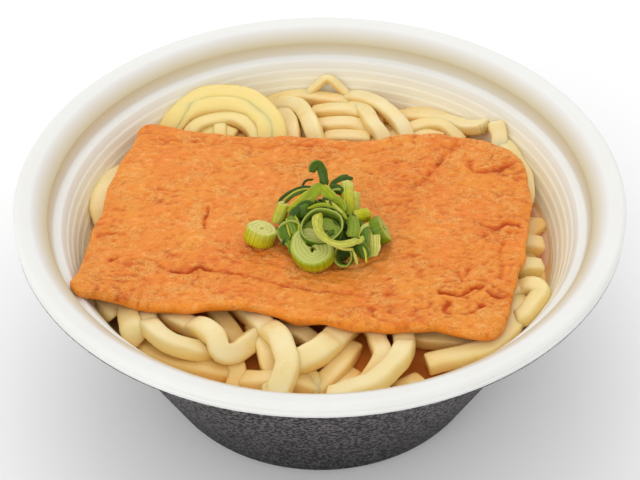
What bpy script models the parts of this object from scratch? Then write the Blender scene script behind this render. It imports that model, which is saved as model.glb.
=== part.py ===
"""Udon noodle bowl: a foam take-away bowl filled with broth and noodles, fried tofu and scallions on top.

Sizes are in millimetres and are turned into metres where a mesh is made. +Z is up, and the origin is
in the middle of the bowl's foot, on the surface that it stands on. +Y is away from the eater.
"""
import math

import bmesh
import bpy
from mathutils import Vector, noise

MM = 0.001
CLEARANCE = 0.3            # between pieces that touch
SAME_POINT = 1e-5          # merge distance in metres

# The foam bowl, turned about +Z
TURN_STEPS = 56
RIM_RADIUS = 90.0
RIM_TOP = 72.5
SKIRT_BOTTOM = 68.4
SKIRT_THICKNESS = 1.6
RIM_CORNER = 1.4           # rounding between the flange and its skirt
FLANGE_TILT = 13.0         # degrees that the flange rises outwards
FLANGE_DEPTH = 2.0         # foam under the flange
CREST_RADIUS = 85.5
CREST_HEIGHT = 71.7
CREST_ROUND = 2.6
CREST_SLOPE = 44.5         # degrees of the flange's fall to the steep wall inside it
SHOULDER_RADIUS = 81.5     # centre of the rounding between that slope and the steep wall
SHOULDER_HEIGHT = 67.0
SHOULDER_ROUND = 0.8
LEDGE_OUTER = 79.9
LEDGE_INNER = 77.0
LEDGE_HEIGHT = 62.5
LEDGE_ROUND = 0.9          # rounding of its inner edge
LEDGE_HOLLOW = 1.3         # rounding between it and the steep wall
LEDGE_DEPTH = 3.0          # from the ledge down to where the outer wall starts
UNDER_ROUND = 0.6          # rounding between the skirt and the flange's underside
WALL_RUN = 2.9             # foam measured level across the sloping wall
WALL_FOOT = 52.4           # radius where the outer wall's line meets the table
WALL_LEAN = 0.442          # run outwards for each unit of rise
FOOT_CORNER = 4.0
FLOOR_CORNER = 6.0
FLOOR_TOP = 3.4
RECESS_RADIUS = 44.0
RECESS_HEIGHT = 1.2
RECESS_SLOPE = 1.5
RING_COUNT = 5             # pressed rings round the inside, above the broth
RING_LOWEST = 49.2
RING_PITCH = 2.6
RING_STEP = 0.35
RING_EDGE = 0.3

BROTH_LEVEL = 48.5
WAVE_GAIN = 1.6            # brings a smooth noise to about -1 to 1

# The fried tofu: places along its four sides, from left to right and from front to back
TOFU_FRONT = ((-70.0, -42.0), (-40.0, -41.2), (-10.0, -45.6), (20.0, -49.4), (50.5, -53.0))
TOFU_BACK = ((-59.6, 44.6), (-28.0, 38.8), (3.0, 35.3), (34.0, 36.8), (64.8, 34.2))
TOFU_LEFT = ((-70.0, -42.0), (-67.2, -13.0), (-65.0, 16.0), (-59.6, 44.6))
TOFU_RIGHT = ((50.5, -53.0), (58.8, -24.0), (64.6, 5.0), (64.8, 34.2))
TOFU_HALF_LENGTH = 61.0
TOFU_HALF_WIDTH = 42.0
TOFU_CORNERS = {            # corner radii, by left or right and front or back
    (-1, -1): 12.0,
    (1, -1): 6.0,
    (1, 1): 15.0,
    (-1, 1): 6.0,
}
TOFU_TOP = 60.6
TOFU_THICKNESS = 4.2
TOFU_EDGE = 1.3
TOFU_EDGE_ANGLE = 50.0     # degrees; sharper edges than this are rounded
TOFU_WAVE = 0.5            # height of its slow waves
TOFU_WAVE_LENGTH = 30.0
TOFU_WAVE_SEED = 3.7
TOFU_LIFT = 7.2            # rise of the corner that lies on the bowl's ledge
TOFU_LIFT_PLACE = (-71.0, -41.0)
TOFU_LIFT_REACH = 17.0
TOFU_COLUMNS = 24
TOFU_ROWS = 16

# The noodles, a heap round and under the tofu
HEAP_CELLS = 26
HEAP_RADIUS = 70.2
HEAP_EDGE = 53.0           # usual height against the wall
HEAP_MIDDLE = 55.0
HEAP_LUMP = 2.4
HEAP_LUMP_LENGTH = 11.0
HEAP_SEED = 8.2
HEAP_LEAST = 1.0           # least height above the broth
HEAP_RISES = (             # bearing in degrees, half width in degrees, extra height
    (118.0, 30.0, 5.5),
    (48.0, 16.0, 4.5),
    (2.0, 24.0, -4.0),
    (-38.0, 16.0, 2.0),
)
TOFU_MARGIN = 6.0          # level strip of noodles kept round the tofu's underside

# The sliced scallions
SCALLION_CENTRE = (1.2, -12.0)
SCALLION_HALF_WIDTH = 14.0
SCALLION_HALF_DEPTH = 14.4
SCALLION_HEIGHT = 12.8
SCALLION_LUMP = 0.24
SCALLION_LUMP_LENGTH = 0.55    # of the heap's half width
SCALLION_SEED = 5.1
SLICE_EDGE = 0.8
SLICE_EDGE_ANGLE = 60.0
SLICE_SIDES = 20

# The two loose slices: place, height of the middle above the tofu, x and z turns in degrees, size
STEM_SLICE_PLACE = (-17.6, -16.2)
STEM_SLICE_LIFT = 3.5
STEM_SLICE_TURN = (-18.0, -20.0)
STEM_SLICE_RADIUS = 4.9
STEM_SLICE_THICKNESS = 4.2
LEAF_SLICE_PLACE = (18.8, -16.4)
LEAF_SLICE_LIFT = 4.8
LEAF_SLICE_TURN = (70.0, 115.0)
LEAF_SLICE_RADIUS = 4.4
LEAF_SLICE_THICKNESS = 3.0

CURL_RADIUS = 1.3
CURL_ROUTE = (             # from its root in the heap to its bent head
    (2.1, -1.4, 72.2), (1.7, -0.2, 73.8), (1.0, 1.1, 75.4), (-0.2, 1.9, 76.9), (-1.6, 1.3, 77.0),
    (-2.4, 0.2, 75.7),
)


def make_collection(name):
    collection = bpy.data.collections.new(name)
    bpy.context.scene.collection.children.link(collection)
    return collection


def make_material(name, colour, roughness, metallic=0.0):
    material = bpy.data.materials.new(name)
    material.use_nodes = True
    shader = material.node_tree.nodes["Principled BSDF"]
    shader.inputs["Base Color"].default_value = (*colour, 1.0)
    shader.inputs["Roughness"].default_value = roughness
    shader.inputs["Metallic"].default_value = metallic
    return material


def add_object(name, data, collection, material):
    part = bpy.data.objects.new(name, data)
    part.data.materials.append(material)
    collection.objects.link(part)
    return part


def mesh_from(name, shape):
    bmesh.ops.recalc_face_normals(shape, faces=shape.faces)
    mesh = bpy.data.meshes.new(name)
    shape.to_mesh(mesh)
    shape.free()
    mesh.shade_smooth()
    return mesh


def arc(centre, radius, start, end, steps):
    """Points round a centre from one bearing to another, in degrees."""
    points = []
    for step in range(steps + 1):
        bearing = math.radians(start + (end - start) * step / steps)
        points.append((centre[0] + radius * math.cos(bearing), centre[1] + radius * math.sin(bearing)))
    return points


def turned_piece(name, profile, collection, material):
    """A profile of (radius, height) points swung once round +Z."""
    mesh = bpy.data.meshes.new(name)
    verts = [(radius * MM, 0.0, height * MM) for radius, height in profile]
    edges = [(index, index + 1) for index in range(len(verts) - 1)]
    mesh.from_pydata(verts, edges, [])
    piece = add_object(name, mesh, collection, material)
    turn = piece.modifiers.new("turn", "SCREW")
    turn.steps = TURN_STEPS
    turn.render_steps = TURN_STEPS
    turn.use_merge_vertices = True
    turn.merge_threshold = SAME_POINT
    turn.use_smooth_shade = True
    return piece


def outer_wall(height):
    return WALL_FOOT + WALL_LEAN * height


def inner_wall(height):
    return outer_wall(height) - WALL_RUN


def foot_arc(wall, floor, radius, steps):
    """The rounding between a level floor and a leaning wall, from the floor up."""
    lean = math.degrees(math.atan(WALL_LEAN))
    height = floor + radius
    centre = (wall(height) - radius / math.cos(math.radians(lean)), height)
    return arc(centre, radius, -90.0, -lean, steps)


def pressed_rings():
    points = []
    for ring in range(RING_COUNT):
        height = RING_LOWEST + ring * RING_PITCH
        points.append((inner_wall(height) - RING_STEP / 2, height))
        points.append((inner_wall(height + RING_EDGE) + RING_STEP / 2, height + RING_EDGE))
    return points


def bowl_profile():
    food_side = [(0.0, FLOOR_TOP)]
    food_side += foot_arc(inner_wall, FLOOR_TOP, FLOOR_CORNER, 3)
    food_side += pressed_rings()
    food_side += arc((LEDGE_INNER + LEDGE_ROUND, LEDGE_HEIGHT - LEDGE_ROUND), LEDGE_ROUND, 155.0, 90.0, 1)
    food_side += arc((LEDGE_OUTER - LEDGE_HOLLOW, LEDGE_HEIGHT + LEDGE_HOLLOW), LEDGE_HOLLOW, -90.0, -10.0, 1)
    shoulder = (SHOULDER_RADIUS, SHOULDER_HEIGHT)
    food_side += arc(shoulder, SHOULDER_ROUND, 168.0, 90.0 + CREST_SLOPE, 1)
    crest = (CREST_RADIUS, CREST_HEIGHT - CREST_ROUND)
    food_side += arc(crest, CREST_ROUND, 90.0 + CREST_SLOPE, 90.0 + FLANGE_TILT, 2)
    corner = (RIM_RADIUS - RIM_CORNER, RIM_TOP - RIM_CORNER)
    food_side += arc(corner, RIM_CORNER, 90.0 + FLANGE_TILT, 0.0, 3)

    skirt_inside = RIM_RADIUS - SKIRT_THICKNESS
    under_flange = RIM_TOP - FLANGE_DEPTH
    outside = [(RIM_RADIUS, SKIRT_BOTTOM), (skirt_inside, SKIRT_BOTTOM)]
    outside += [(skirt_inside, under_flange - UNDER_ROUND), (skirt_inside - UNDER_ROUND, under_flange)]
    outside += [(CREST_RADIUS, CREST_HEIGHT - FLANGE_DEPTH)]
    outside += [(LEDGE_OUTER + FLANGE_DEPTH, LEDGE_HEIGHT)]
    outside += [(LEDGE_OUTER + FLANGE_DEPTH / 2, LEDGE_HEIGHT - LEDGE_DEPTH / 2)]
    outside += [(outer_wall(LEDGE_HEIGHT - LEDGE_DEPTH), LEDGE_HEIGHT - LEDGE_DEPTH)]
    outside += reversed(foot_arc(outer_wall, 0.0, FOOT_CORNER, 4))
    outside += [(RECESS_RADIUS + RECESS_SLOPE, 0.0), (RECESS_RADIUS, RECESS_HEIGHT), (0.0, RECESS_HEIGHT)]
    return food_side + outside


def build_bowl(collection):
    white_foam = make_material("foam", (0.84, 0.83, 0.79), 0.45)
    return turned_piece("bowl", bowl_profile(), collection, white_foam)


def clear_of_wall(height):
    return inner_wall(height) - RING_STEP / 2 - CLEARANCE


def build_broth(collection):
    brown = make_material("broth", (0.36, 0.16, 0.035), 0.12)
    profile = [(0.0, BROTH_LEVEL), (clear_of_wall(BROTH_LEVEL), BROTH_LEVEL)]
    profile += reversed(foot_arc(clear_of_wall, FLOOR_TOP + CLEARANCE, FLOOR_CORNER, 3))
    profile += [(0.0, FLOOR_TOP + CLEARANCE)]
    return turned_piece("broth", profile, collection, brown)


def wave(x, y, length, seed):
    """A slow random wave between about -1 and 1."""
    return WAVE_GAIN * noise.noise(Vector((x / length, y / length, seed)))


def tofu_top(x, y):
    from_corner = math.hypot(x - TOFU_LIFT_PLACE[0], y - TOFU_LIFT_PLACE[1]) / TOFU_LIFT_REACH
    lift = TOFU_LIFT * math.exp(-from_corner * from_corner)
    return TOFU_TOP + TOFU_WAVE * wave(x, y, TOFU_WAVE_LENGTH, TOFU_WAVE_SEED) + lift


def round_corner(x, y):
    """Draws a point of a sharp-cornered slab in, so that the slab's corners are round."""
    radius = TOFU_CORNERS[(math.copysign(1, x), math.copysign(1, y))]
    over_x = abs(x) - (TOFU_HALF_LENGTH - radius)
    over_y = abs(y) - (TOFU_HALF_WIDTH - radius)
    if over_x <= 0 or over_y <= 0:
        return x, y
    scale = max(over_x, over_y) / math.hypot(over_x, over_y)
    x = math.copysign(TOFU_HALF_LENGTH - radius + over_x * scale, x)
    y = math.copysign(TOFU_HALF_WIDTH - radius + over_y * scale, y)
    return x, y


def on_side(places, share):
    """A place on the smooth curve through the places along one side, at a share of its length."""
    at = share * (len(places) - 1)
    start = min(int(at), len(places) - 2)
    part = at - start
    last = len(places) - 1
    near = [Vector(places[min(max(start + step, 0), last)]) for step in (-1, 0, 1, 2)]
    before, low, high, after = near
    bend = (2 * before - 5 * low + 4 * high - after) * part ** 2
    bend += (3 * low - before - 3 * high + after) * part ** 3
    return 0.5 * (2 * low + (high - before) * part + bend)


def tofu_plan(x, y):
    """From the slab's own square length and width to its place over the noodles, between its four sides."""
    along, across = (x / TOFU_HALF_LENGTH + 1) / 2, (y / TOFU_HALF_WIDTH + 1) / 2
    plan = (1 - across) * on_side(TOFU_FRONT, along) + across * on_side(TOFU_BACK, along)
    plan += (1 - along) * on_side(TOFU_LEFT, across) + along * on_side(TOFU_RIGHT, across)
    plan -= (1 - across) * Vector(TOFU_FRONT[0]).lerp(Vector(TOFU_FRONT[-1]), along)
    plan -= across * Vector(TOFU_BACK[0]).lerp(Vector(TOFU_BACK[-1]), along)
    return plan


def build_tofu(collection):
    """One open sheet in the slab's outline, thickened downwards and rounded at its edges."""
    orange = make_material("fried_tofu", (0.78, 0.30, 0.07), 0.5)
    shape = bmesh.new()
    bmesh.ops.create_grid(shape, x_segments=TOFU_COLUMNS, y_segments=TOFU_ROWS, size=1.0)
    for vert in shape.verts:
        plan = tofu_plan(*round_corner(vert.co.x * TOFU_HALF_LENGTH, vert.co.y * TOFU_HALF_WIDTH))
        vert.co = Vector((plan.x, plan.y, tofu_top(plan.x, plan.y))) * MM
    tofu = add_object("fried_tofu", mesh_from("fried_tofu", shape), collection, orange)
    thicken = tofu.modifiers.new("thicken", "SOLIDIFY")
    thicken.thickness = TOFU_THICKNESS * MM
    thicken.offset = -1.0
    soften = tofu.modifiers.new("soften", "BEVEL")
    soften.width = TOFU_EDGE * MM
    soften.segments = 1
    soften.limit_method = "ANGLE"
    soften.angle_limit = math.radians(TOFU_EDGE_ANGLE)
    return tofu


def outside_tofu(x, y):
    """Distance from the straight lines between the tofu's corners: above zero outside them."""
    corners = [TOFU_FRONT[0], TOFU_FRONT[-1], TOFU_BACK[-1], TOFU_BACK[0]]
    distances = []
    for start, end in zip(corners, corners[1:] + corners[:1]):
        run_x, run_y = end[0] - start[0], end[1] - start[1]
        distances.append((run_y * (x - start[0]) - run_x * (y - start[1])) / math.hypot(run_x, run_y))
    return max(distances)


def heap_edge_height(bearing):
    height = HEAP_EDGE
    for middle, half_width, rise in HEAP_RISES:
        turn = (bearing - middle + 180.0) % 360.0 - 180.0
        height += rise * math.exp(-(turn / half_width) ** 2)
    return height


def heap_top(x, y):
    """Height of the noodle heap: lumpy, high round the back, and pressed level under the tofu."""
    reach = min(math.hypot(x, y) / HEAP_RADIUS, 1.0) ** 3
    edge = heap_edge_height(math.degrees(math.atan2(y, x)))
    height = HEAP_MIDDLE + (edge - HEAP_MIDDLE) * reach
    height += HEAP_LUMP * wave(x, y, HEAP_LUMP_LENGTH, HEAP_SEED)
    under = tofu_top(x, y) - TOFU_THICKNESS - 2 * CLEARANCE
    ceiling = under + max(outside_tofu(x, y) - TOFU_MARGIN, 0.0)
    return max(min(height, ceiling), BROTH_LEVEL + HEAP_LEAST)


def disc_point(x, y):
    """Moves a point of a square sheet to a round one."""
    return x * math.sqrt(1 - y * y / 2), y * math.sqrt(1 - x * x / 2)


def build_noodles(collection):
    """A lumpy round sheet, closed down to a flat underside just over the broth."""
    cream = make_material("noodles", (0.86, 0.72, 0.36), 0.35)
    shape = bmesh.new()
    bmesh.ops.create_grid(shape, x_segments=HEAP_CELLS, y_segments=HEAP_CELLS, size=1.0)
    for vert in shape.verts:
        x, y = (HEAP_RADIUS * part for part in disc_point(vert.co.x, vert.co.y))
        height = heap_top(x, y)
        outwards = math.hypot(x, y) / HEAP_RADIUS
        spread = (clear_of_wall(height) - 2 * CLEARANCE) / HEAP_RADIUS
        scale = 1.0 + (spread - 1.0) * outwards ** 4
        vert.co = Vector((x * scale, y * scale, height)) * MM
    rim = [edge for edge in shape.edges if edge.is_boundary]
    walls = bmesh.ops.extrude_edge_only(shape, edges=rim)["geom"]
    foot = [item for item in walls if isinstance(item, bmesh.types.BMVert)]
    underside = BROTH_LEVEL + CLEARANCE
    for vert in foot:
        bearing = math.atan2(vert.co.y, vert.co.x)
        radius = (clear_of_wall(underside) - 2 * CLEARANCE) * MM
        vert.co = Vector((radius * math.cos(bearing), radius * math.sin(bearing), underside * MM))
    bmesh.ops.holes_fill(shape, edges=[edge for edge in shape.edges if edge.is_boundary])
    return add_object("noodles", mesh_from("noodles", shape), collection, cream)


def build_scallion_heap(collection):
    """A lumpy dome of sliced scallions with its underside just clear of the tofu."""
    green = make_material("scallion", (0.20, 0.42, 0.05), 0.4)
    shape = bmesh.new()
    bmesh.ops.create_uvsphere(shape, u_segments=22, v_segments=12, radius=1.0)
    for vert in shape.verts:
        bearing_x, bearing_y, rise = vert.co
        lump = 1.0 + SCALLION_LUMP * wave(bearing_x, bearing_y, SCALLION_LUMP_LENGTH, SCALLION_SEED)
        x = SCALLION_CENTRE[0] + SCALLION_HALF_WIDTH * bearing_x * lump
        y = SCALLION_CENTRE[1] + SCALLION_HALF_DEPTH * bearing_y * lump
        base = tofu_top(x, y) + 2 * CLEARANCE
        height = base + SCALLION_HEIGHT * lump * max(rise, 0.0)
        vert.co = Vector((x, y, height)) * MM
    return add_object("scallion_heap", mesh_from("scallion_heap", shape), collection, green)


def build_slice(name, centre, lift, turn, radius, thickness, colour, collection):
    """One round slice of scallion: a short rod with soft edges, turned about x and z."""
    material = make_material(name, colour, 0.4)
    shape = bmesh.new()
    bmesh.ops.create_cone(
        shape, cap_ends=True, segments=SLICE_SIDES,
        radius1=radius * MM, radius2=radius * MM, depth=thickness * MM,
    )
    piece = add_object(name, mesh_from(name, shape), collection, material)
    piece.location = Vector((centre[0], centre[1], tofu_top(*centre) + lift)) * MM
    piece.rotation_euler = (math.radians(turn[0]), 0.0, math.radians(turn[1]))
    soften = piece.modifiers.new("soften", "BEVEL")
    soften.width = SLICE_EDGE * MM
    soften.segments = 1
    soften.limit_method = "ANGLE"
    soften.angle_limit = math.radians(SLICE_EDGE_ANGLE)
    return piece


def build_curl(collection):
    """A strip of green leaf that stands out of the heap with its head bent over."""
    dark_green = make_material("scallion_curl", (0.05, 0.20, 0.03), 0.35)
    curve = bpy.data.curves.new("scallion_curl", "CURVE")
    curve.dimensions = "3D"
    curve.bevel_depth = CURL_RADIUS * MM
    curve.bevel_resolution = 2
    curve.use_fill_caps = True
    strand = curve.splines.new("POLY")
    strand.points.add(len(CURL_ROUTE) - 1)
    for point, place in zip(strand.points, CURL_ROUTE):
        point.co = (*(Vector(place) * MM), 1.0)
    return add_object("scallion_curl", curve, collection, dark_green)


def build_all():
    parts = make_collection("udon_noodle_bowl")
    build_bowl(parts)
    build_broth(parts)
    build_noodles(parts)
    build_tofu(parts)
    build_scallion_heap(parts)
    build_slice(
        "scallion_slice_left", STEM_SLICE_PLACE, STEM_SLICE_LIFT, STEM_SLICE_TURN,
        STEM_SLICE_RADIUS, STEM_SLICE_THICKNESS, (0.62, 0.62, 0.16), parts,
    )
    build_slice(
        "scallion_slice_right", LEAF_SLICE_PLACE, LEAF_SLICE_LIFT, LEAF_SLICE_TURN,
        LEAF_SLICE_RADIUS, LEAF_SLICE_THICKNESS, (0.12, 0.30, 0.04), parts,
    )
    build_curl(parts)


for leftover in list(bpy.data.objects):
    bpy.data.objects.remove(leftover, do_unlink=True)
build_all()
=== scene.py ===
import math
import random

import bmesh
import bpy
import numpy as np
from mathutils import Matrix, Vector, noise


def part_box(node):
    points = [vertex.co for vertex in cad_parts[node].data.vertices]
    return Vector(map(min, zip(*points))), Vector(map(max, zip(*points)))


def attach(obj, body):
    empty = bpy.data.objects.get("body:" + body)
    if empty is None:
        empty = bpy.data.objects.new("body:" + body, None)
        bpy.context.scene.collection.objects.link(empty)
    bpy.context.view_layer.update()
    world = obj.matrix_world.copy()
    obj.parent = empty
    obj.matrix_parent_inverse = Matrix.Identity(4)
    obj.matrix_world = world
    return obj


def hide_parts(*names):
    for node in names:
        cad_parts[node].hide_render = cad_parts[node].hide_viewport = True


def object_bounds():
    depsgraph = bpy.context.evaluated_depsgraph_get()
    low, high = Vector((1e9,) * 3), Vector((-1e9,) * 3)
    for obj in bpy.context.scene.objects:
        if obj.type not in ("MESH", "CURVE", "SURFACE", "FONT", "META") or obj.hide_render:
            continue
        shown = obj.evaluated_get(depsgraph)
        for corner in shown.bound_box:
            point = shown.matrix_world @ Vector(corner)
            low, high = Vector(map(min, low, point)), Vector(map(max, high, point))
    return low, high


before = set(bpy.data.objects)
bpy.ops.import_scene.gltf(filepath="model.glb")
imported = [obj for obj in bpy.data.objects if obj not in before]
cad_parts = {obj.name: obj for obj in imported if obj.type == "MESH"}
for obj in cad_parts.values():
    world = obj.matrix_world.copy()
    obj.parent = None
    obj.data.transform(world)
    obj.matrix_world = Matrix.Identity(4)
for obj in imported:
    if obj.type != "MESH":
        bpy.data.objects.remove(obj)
cad_low, cad_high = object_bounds()

# ----------------------------------------
# The table and the light. The bowl stands on a pale seamless table under a broad soft box, with
# white walls all round, and is looked at from the eater's side at the slope of a seated gaze.
# ----------------------------------------
MM = 0.001
EYE_DISTANCE = 0.400
EYE_SLOPE = math.radians(41.552)
EYE_ROLL = math.radians(-0.5204)
AIM_HEIGHT = 0.04768
LENS = 72.623
SENSOR = 36.0
TABLE_SIZE = 6.0
TABLE_WHITE = (0.96, 0.96, 0.96, 1.0)
ROOM_LIGHT = 0.92
SOFT_BOXES = (                     # name, place, aimed at, width, watts
    ("box_over", (-0.10, 0.45, 0.75), (0.0, 0.0, 0.05), 0.60, 1.2),
    ("box_front", (-0.40, -0.75, 0.50), (0.0, 0.0, 0.05), 0.60, 1.6),
)

bpy.context.scene.view_settings.view_transform = "Standard"

camera = bpy.data.objects.new("camera", bpy.data.cameras.new("camera"))
camera.data.lens = LENS
camera.data.sensor_width = SENSOR
camera.data.clip_start = 0.01
eye = Vector((0.0, -math.cos(EYE_SLOPE), math.sin(EYE_SLOPE))) * EYE_DISTANCE
place = eye + Vector((0.0, 0.0, AIM_HEIGHT))
tip_up = Matrix.Rotation(math.pi / 2 - EYE_SLOPE, 4, "X")
camera.matrix_world = Matrix.Translation(place) @ tip_up @ Matrix.Rotation(EYE_ROLL, 4, "Z")
bpy.context.scene.collection.objects.link(camera)
bpy.context.scene.camera = camera

room = bpy.data.worlds.new("room")
room.use_nodes = True
walls = room.node_tree.nodes["Background"]
walls.inputs["Color"].default_value = (1.0, 1.0, 1.0, 1.0)
walls.inputs["Strength"].default_value = ROOM_LIGHT
bpy.context.scene.world = room

for name, spot, aim, width, watts in SOFT_BOXES:
    lamp = bpy.data.lights.new(name, "AREA")
    lamp.size = width
    lamp.energy = watts
    box = bpy.data.objects.new(name, lamp)
    box.location = spot
    box.rotation_euler = (Vector(aim) - Vector(spot)).to_track_quat("-Z", "Y").to_euler()
    bpy.context.scene.collection.objects.link(box)


def fill_sockets(tree, node, values):
    """Sets a node's sockets, by name or number, to numbers, or links them to other nodes' outputs."""
    for socket, value in values.items():
        if isinstance(value, bpy.types.NodeSocket):
            tree.links.new(value, node.inputs[socket])
        else:
            node.inputs[socket].default_value = value


def new_material(name, roughness):
    """A material with a Principled shader of this roughness. Gives back the material and its nodes."""
    material = bpy.data.materials.new(name)
    material.use_nodes = True
    tree = material.node_tree
    fill_sockets(tree, tree.nodes["Principled BSDF"], {"Roughness": roughness})
    return material, tree


def set_shader(tree, **values):
    """Fills the Principled shader's sockets. Each is named with _ for a space."""
    named = {label.replace("_", " "): value for label, value in values.items()}
    fill_sockets(tree, tree.nodes["Principled BSDF"], named)


def keep_mesh(name, shape):
    """The mesh of a finished bmesh."""
    mesh = bpy.data.meshes.new(name)
    shape.to_mesh(mesh)
    shape.free()
    mesh.shade_smooth()
    return mesh


def add_piece(name, mesh, material):
    """A shown object made from a mesh that is already in the row frame, in metres."""
    piece = bpy.data.objects.new(name, mesh)
    piece.data.materials.append(material)
    bpy.context.scene.collection.objects.link(piece)
    return piece


table_material, tree = new_material("table_white", 0.7)
set_shader(tree, Base_Color=TABLE_WHITE)
shape = bmesh.new()
bmesh.ops.create_grid(shape, x_segments=1, y_segments=1, size=TABLE_SIZE / 2)
add_piece("table_top", keep_mesh("table_top", shape), table_material)

# ----------------------------------------
# The bowl. One sheet of foamed polystyrene, white on the food side, is drawn down warm into a
# round mould. The mould leaves a rolled flange with a short skirt, a ledge, and fine pressed
# rings round the wall.
# ----------------------------------------
RIM_RADIUS = cad_high.x / MM
RIM_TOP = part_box("bowl")[1].z / MM
SKIRT_BOTTOM = 68.4
SKIRT_THICKNESS = 1.6
SKIRT_LIP = 0.35
RIM_CORNER = 1.4
RIM_GROOVE = 0.28                  # a fine pressed line between the flange and its skirt
GROOVE_SHAPE = ((0.5, 0.25), (1.0, 0.5), (0.9, 0.75), (0.3, 1.0), (0.0, 1.4))     # share of it, drop in mm
FLANGE_TILT = 13.0                 # degrees that the flange rises outwards
FLANGE_DEPTH = 2.0
CREST_RADIUS = 85.5
CREST_HEIGHT = 71.7
CREST_ROUND = 2.6
SHOULDER = (81.5, 67.0)            # centre of the rounding between the steep wall and the slope above it
SHOULDER_ROUND = 0.8
SHOULDER_SLOPE = 44.5
LEDGE_OUTER = 79.9
LEDGE_INNER = 77.0
LEDGE_HEIGHT = 62.5
LEDGE_ROUND = 0.9
LEDGE_FILLET = 1.3
WALL_RUN = 2.9
WALL_FOOT = 52.4
WALL_LEAN = 0.442
FOOT_CORNER = 4.0
FLOOR_CORNER = 6.0
FLOOR_TOP = 3.4
RECESS_RADIUS = 44.0
RECESS_HEIGHT = 1.2
RECESS_SLOPE = 1.5
RING_COUNT = 5
RING_LOWEST = 49.2
RING_PITCH = 2.6
RING_STEP = 0.26
RING_EDGE = 0.5
TURN_STEPS = 288
FILM = 0.3                         # the black film on the outside
FOAM_WHITE = (0.800, 0.800, 0.775)
FOAM_CREAM = (0.780, 0.775, 0.742)
FOAM_PAINTED_SHADE = (0.610, 0.535, 0.340)      # painted shade, warmed by light bounced off the food, on the slope above the ledge
FOAM_PAINTED_BOUNCE = (0.900, 0.840, 0.630)       # painted warm bounce light, off the noodles and tofu, on the wall above the broth
PAINTED_SHADE_HEIGHTS = (                       # height on the food side, how strong the painted shade is there
    (62.8, 0.0), (63.6, 0.40), (65.0, 0.62), (66.8, 0.95), (68.3, 1.0), (69.1, 0.50), (70.0, 0.10),
    (70.8, 0.0),
)
PAINTED_BOUNCE_HEIGHTS = (                        # height on the food side, how strong the painted warm bounce light is there
    (50.0, 1.0), (54.0, 0.95), (57.0, 0.80), (60.0, 0.45), (61.5, 0.25), (62.4, 0.10), (63.2, 0.0),
)


def arc(centre, radius, start, end, steps):
    """Points round a centre from one bearing to another, in degrees."""
    points = []
    for step in range(steps + 1):
        bearing = math.radians(start + (end - start) * step / steps)
        points.append((centre[0] + radius * math.cos(bearing), centre[1] + radius * math.sin(bearing)))
    return points


def outer_wall(height):
    return WALL_FOOT + WALL_LEAN * height


def inner_wall(height):
    return outer_wall(height) - WALL_RUN


def foot_arc(wall, floor, radius, steps):
    """The rounding between a level floor and a leaning wall, from the floor up."""
    lean = math.degrees(math.atan(WALL_LEAN))
    height = floor + radius
    centre = (wall(height) - radius / math.cos(math.radians(lean)), height)
    return arc(centre, radius, -90.0, -lean, steps)


def food_side():
    """From the middle of the floor up the wall, over the flange and down to the skirt's edge."""
    line = [(0.0, FLOOR_TOP), (RECESS_RADIUS / 2, FLOOR_TOP)]
    line += foot_arc(inner_wall, FLOOR_TOP, FLOOR_CORNER, 8)
    for ring in range(RING_COUNT):
        height = RING_LOWEST + ring * RING_PITCH
        inset, outset = -RING_STEP / 2, RING_STEP / 2
        line += [(inner_wall(height - RING_EDGE) + inset, height - RING_EDGE)]
        line += [(inner_wall(height) + inset * 0.8, height)]
        line += [(inner_wall(height + RING_EDGE / 2) + outset * 0.7, height + RING_EDGE / 2)]
        line += [(inner_wall(height + RING_EDGE) + outset, height + RING_EDGE)]
    root = LEDGE_HEIGHT - LEDGE_ROUND
    line += [(inner_wall(root - LEDGE_ROUND), root - LEDGE_ROUND)]
    line += arc((LEDGE_INNER + 1.0, root), LEDGE_ROUND, 155.0, 95.0, 5)
    line += arc((LEDGE_OUTER - LEDGE_FILLET, LEDGE_HEIGHT + 1.4), LEDGE_FILLET, -85.0, -12.0, 6)
    line += arc(SHOULDER, SHOULDER_ROUND, 168.0, 90.0 + SHOULDER_SLOPE, 5)
    crest = (CREST_RADIUS + 0.6, CREST_HEIGHT - CREST_ROUND)
    line += arc(crest, CREST_ROUND, 90.0 + SHOULDER_SLOPE, 90.0 + FLANGE_TILT, 7)
    corner = (RIM_RADIUS - RIM_CORNER, RIM_TOP - RIM_CORNER)
    line += arc(corner, RIM_CORNER, 90.0 + FLANGE_TILT, 0.0, 8)
    for depth, drop in GROOVE_SHAPE:
        line.append((RIM_RADIUS - depth * RIM_GROOVE, corner[1] - drop))
    return line


def outside():
    """From the skirt's lower edge, under the flange and down the outer wall to the middle of the foot."""
    skirt_inside = RIM_RADIUS - SKIRT_THICKNESS
    under_flange = RIM_TOP - FLANGE_DEPTH
    line = [(skirt_inside, SKIRT_BOTTOM)]
    line += [(skirt_inside, under_flange - 0.5), (skirt_inside - 0.6, under_flange)]
    line += [(CREST_RADIUS - 0.2, CREST_HEIGHT - FLANGE_DEPTH)]
    line += [(LEDGE_OUTER + FLANGE_DEPTH, LEDGE_HEIGHT), (LEDGE_OUTER + 0.9, LEDGE_HEIGHT - 1.8)]
    line += [(outer_wall(LEDGE_HEIGHT - 3.0), LEDGE_HEIGHT - 3.0)]
    line += reversed(foot_arc(outer_wall, 0.0, FOOT_CORNER, 8))
    line += [(RECESS_RADIUS + RECESS_SLOPE, 0.0), (RECESS_RADIUS, RECESS_HEIGHT), (0.0, RECESS_HEIGHT)]
    return line


def inset_line(line, depth):
    """The line moved sideways into the foam by a depth, with its ends kept on the axis or at the edge."""
    moved = []
    for index, (radius, height) in enumerate(line):
        before = line[max(index - 1, 0)]
        after = line[min(index + 1, len(line) - 1)]
        run = Vector((after[0] - before[0], after[1] - before[1])).normalized()
        moved.append((max(radius + run.y * depth, 0.0), height - run.x * depth))
    return moved


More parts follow.
